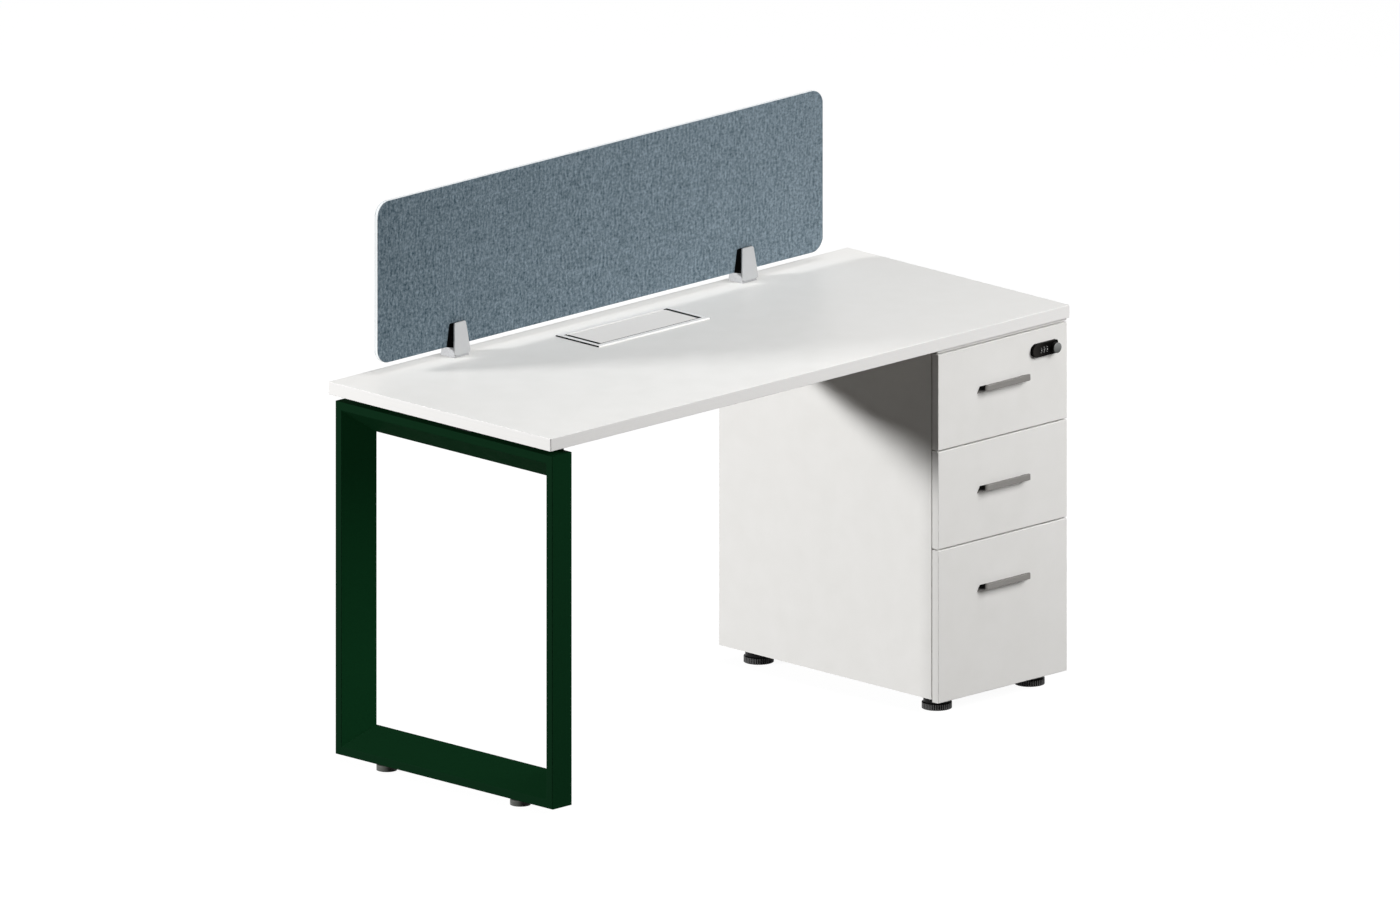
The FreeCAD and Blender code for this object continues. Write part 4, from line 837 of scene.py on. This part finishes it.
# %% Melange weave
# Woven wool blend: matt, flecked blue-grey with a soft sheen. The threads of 1.1 mm are drawn at
# 2.4 mm, and flecks at 5.4 by 5.6 mm, so that they show. The colour gets a little paler to the right.
THREAD = 2.4
WEAVE_RELIEF = 0.25
WEAVE_SHARE = 0.5
FLECK = (5.4, 5.6)
STREAK = (5.2, 20.0)
STREAK_SHARE = 0.7
BAND = (45.0, 140.0)
BAND_SHARE = 0.12
PALER_PER_METRE = 0.12
DARKEST, PALEST = 0.61, 1.21
cloth, tree = new_tree("melange_weave")
flat = add(tree, "ShaderNodeUVMap", uv_map="cloth").outputs["UV"]
fleck_map = add(tree, "ShaderNodeMapping", {
    "Vector": flat, "Scale": (1 / (FLECK[0] * MM), 1 / (FLECK[1] * MM), 1.0)})
flecks = add(tree, "ShaderNodeTexNoise", {
    "Vector": fleck_map.outputs[0], "Scale": 1.0, "Detail": 2.0, "Roughness": 0.7})
streak_map = add(tree, "ShaderNodeMapping", {
    "Vector": flat, "Scale": (1 / (STREAK[0] * MM), 1 / (STREAK[1] * MM), 1.0)})
streaks = add(tree, "ShaderNodeTexNoise", {"Vector": streak_map.outputs[0], "Scale": 1.0, "Detail": 3.0})
band_map = add(tree, "ShaderNodeMapping", {
    "Vector": flat, "Scale": (1 / (BAND[0] * MM), 1 / (BAND[1] * MM), 1.0)})
bands = add(tree, "ShaderNodeTexNoise", {"Vector": band_map.outputs[0], "Scale": 1.0, "Detail": 2.0})
yarn = add(tree, "ShaderNodeMath", {0: streaks.outputs[0], 1: STREAK_SHARE, 2: flecks.outputs[0]},
           operation="MULTIPLY_ADD")
yarn = add(tree, "ShaderNodeMath", {0: bands.outputs[0], 1: BAND_SHARE, 2: yarn.outputs[0]},
           operation="MULTIPLY_ADD")
across = add(tree, "ShaderNodeSeparateXYZ", {"Vector": flat})
# The colour gets a little paler to the right.
yarn = add(tree, "ShaderNodeMath", {0: across.outputs["X"], 1: PALER_PER_METRE, 2: yarn.outputs[0]},
           operation="MULTIPLY_ADD")
tint = add(tree, "ShaderNodeMapRange", {
    "Value": yarn.outputs[0], "From Min": DARKEST, "From Max": PALEST})
dyed = add(tree, "ShaderNodeMix", {0: tint.outputs[0], 6: colour("#344650"), 7: colour("#86959f")},
           data_type="RGBA")
warp = add(tree, "ShaderNodeMath", {0: across.outputs["X"], 1: 2 * math.pi / (THREAD * MM)},
           operation="MULTIPLY")
warp = add(tree, "ShaderNodeMath", {0: warp.outputs[0]}, operation="SINE")
weft = add(tree, "ShaderNodeMath", {0: across.outputs["Y"], 1: 2 * math.pi / (THREAD * MM)},
           operation="MULTIPLY")
weft = add(tree, "ShaderNodeMath", {0: weft.outputs[0]}, operation="SINE")
weave = add(tree, "ShaderNodeMath", {0: warp.outputs[0], 1: weft.outputs[0]}, operation="MULTIPLY")
height = add(tree, "ShaderNodeMath", {0: weave.outputs[0], 1: WEAVE_SHARE, 2: flecks.outputs[0]},
             operation="MULTIPLY_ADD")
relief = add(tree, "ShaderNodeBump", {"Height": height.outputs[0], "Distance": WEAVE_RELIEF * MM})
gloss = add(tree, "ShaderNodeMapRange", {"Value": flecks.outputs[0], "To Min": 0.82, "To Max": 1.0})
shader = add(tree, "ShaderNodeBsdfPrincipled", {
    "Base Color": dyed.outputs[2], "Roughness": gloss.outputs[0], "Specular IOR Level": 0.1,
    "Sheen Weight": 0.05, "Normal": relief.outputs[0]})
add(tree, "ShaderNodeOutputMaterial", {"Surface": shader.outputs[0]})
print(cloth.name, "with threads drawn", THREAD, "mm apart")

# %% [markdown]
# ## Cloth on the screen
# The cloth is glued flat to the core and folded back a little at the rim. The solid plate is too
# sharp for that, so each face gets a sheet of its own in its place. A rounded rectangle can be a
# grid: columns follow X, and in the corners every column gets shorter along the corner's arc.

# %% Fabric sheets
CORNER_RADIUS = 29.0
ROLL = 0.9
ROLL_STEPS = 6
ROLL_MARGIN = 1.5
ARC_STEPS = 14
COLUMNS = 60
ROWS = 24


def edge_samples(half, roll, count):
    """Even samples from -half to half, with more of them within a roll's width of each end."""
    near = half - roll * (1 - np.cos(np.linspace(0, np.pi / 2, ROLL_STEPS)))
    inner = half - roll * ROLL_MARGIN
    return np.concatenate([-near, np.linspace(-inner, inner, count), near[::-1]])


def fabric_sheet(name, y_face, y_seat, material):
    """Stretched cloth on one face of the screen.

    A grid of x and v. Its half height is h(x) = H inside and H - r + sqrt(r^2 - (|x| - L + r)^2) in
    the corner arcs, z = v * h(x), and the cloth rolls back to its seat in a quarter round at the rim.
    """
    low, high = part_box("screen_fabric")
    length, height = (high.x - low.x) / 2, (high.z - low.z) / 2
    radius, roll = CORNER_RADIUS * MM, ROLL * MM
    middle_x, middle_z = (high.x + low.x) / 2, (high.z + low.z) / 2
    arc = length - radius * np.cos(np.linspace(0, np.pi / 2, ARC_STEPS))
    x = np.unique(np.concatenate([edge_samples(length, roll, COLUMNS), arc, -arc]))
    v = edge_samples(1.0, roll / height, ROWS)
    over = np.clip(np.abs(x) - length + radius, 0, radius)
    half = height - radius + np.sqrt(np.maximum(radius ** 2 - over ** 2, 0))
    px = np.repeat(x[:, None], len(v), 1)
    pz = v[None, :] * half[:, None]
    rim = np.minimum(length - np.abs(px), half[:, None] - np.abs(pz))
    back = roll * (1 - np.sqrt(np.maximum(1 - (1 - np.clip(rim / roll, 0, 1)) ** 2, 0)))
    py = y_face + np.sign(y_seat - y_face) * back
    points = np.stack([px + middle_x, py, pz + middle_z], -1).reshape(-1, 3)
    rows, columns = px.shape
    number = np.arange(rows * columns).reshape(rows, columns)
    quads = np.stack([number[:-1, :-1], number[1:, :-1], number[1:, 1:], number[:-1, 1:]], -1)
    quads = quads.reshape(-1, 4)
    if y_seat < y_face:
        quads = quads[:, ::-1]
    mesh = bpy.data.meshes.new(name)
    mesh.from_pydata(points.tolist(), [], quads.tolist())
    uv = mesh.uv_layers.new(name="cloth")
    corner = np.zeros(len(mesh.loops), np.int32)
    mesh.loops.foreach_get("vertex_index", corner)
    uv.data.foreach_set("uv", points[corner][:, (0, 2)].astype(np.float32).ravel())
    mesh.polygons.foreach_set("use_smooth", np.ones(len(mesh.polygons), bool))
    mesh.materials.append(material)
    piece = bpy.data.objects.new(name, mesh)
    scene.collection.objects.link(piece)
    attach(piece, "workstation")
    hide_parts("screen_fabric")
    print(name, len(mesh.polygons), "quads")


low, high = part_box("screen_fabric")
core_low, core_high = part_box("screen_core")
fabric_sheet("screen_front_cloth", low.y, core_low.y, cloth)
fabric_sheet("screen_back_cloth", high.y, core_high.y, cloth)
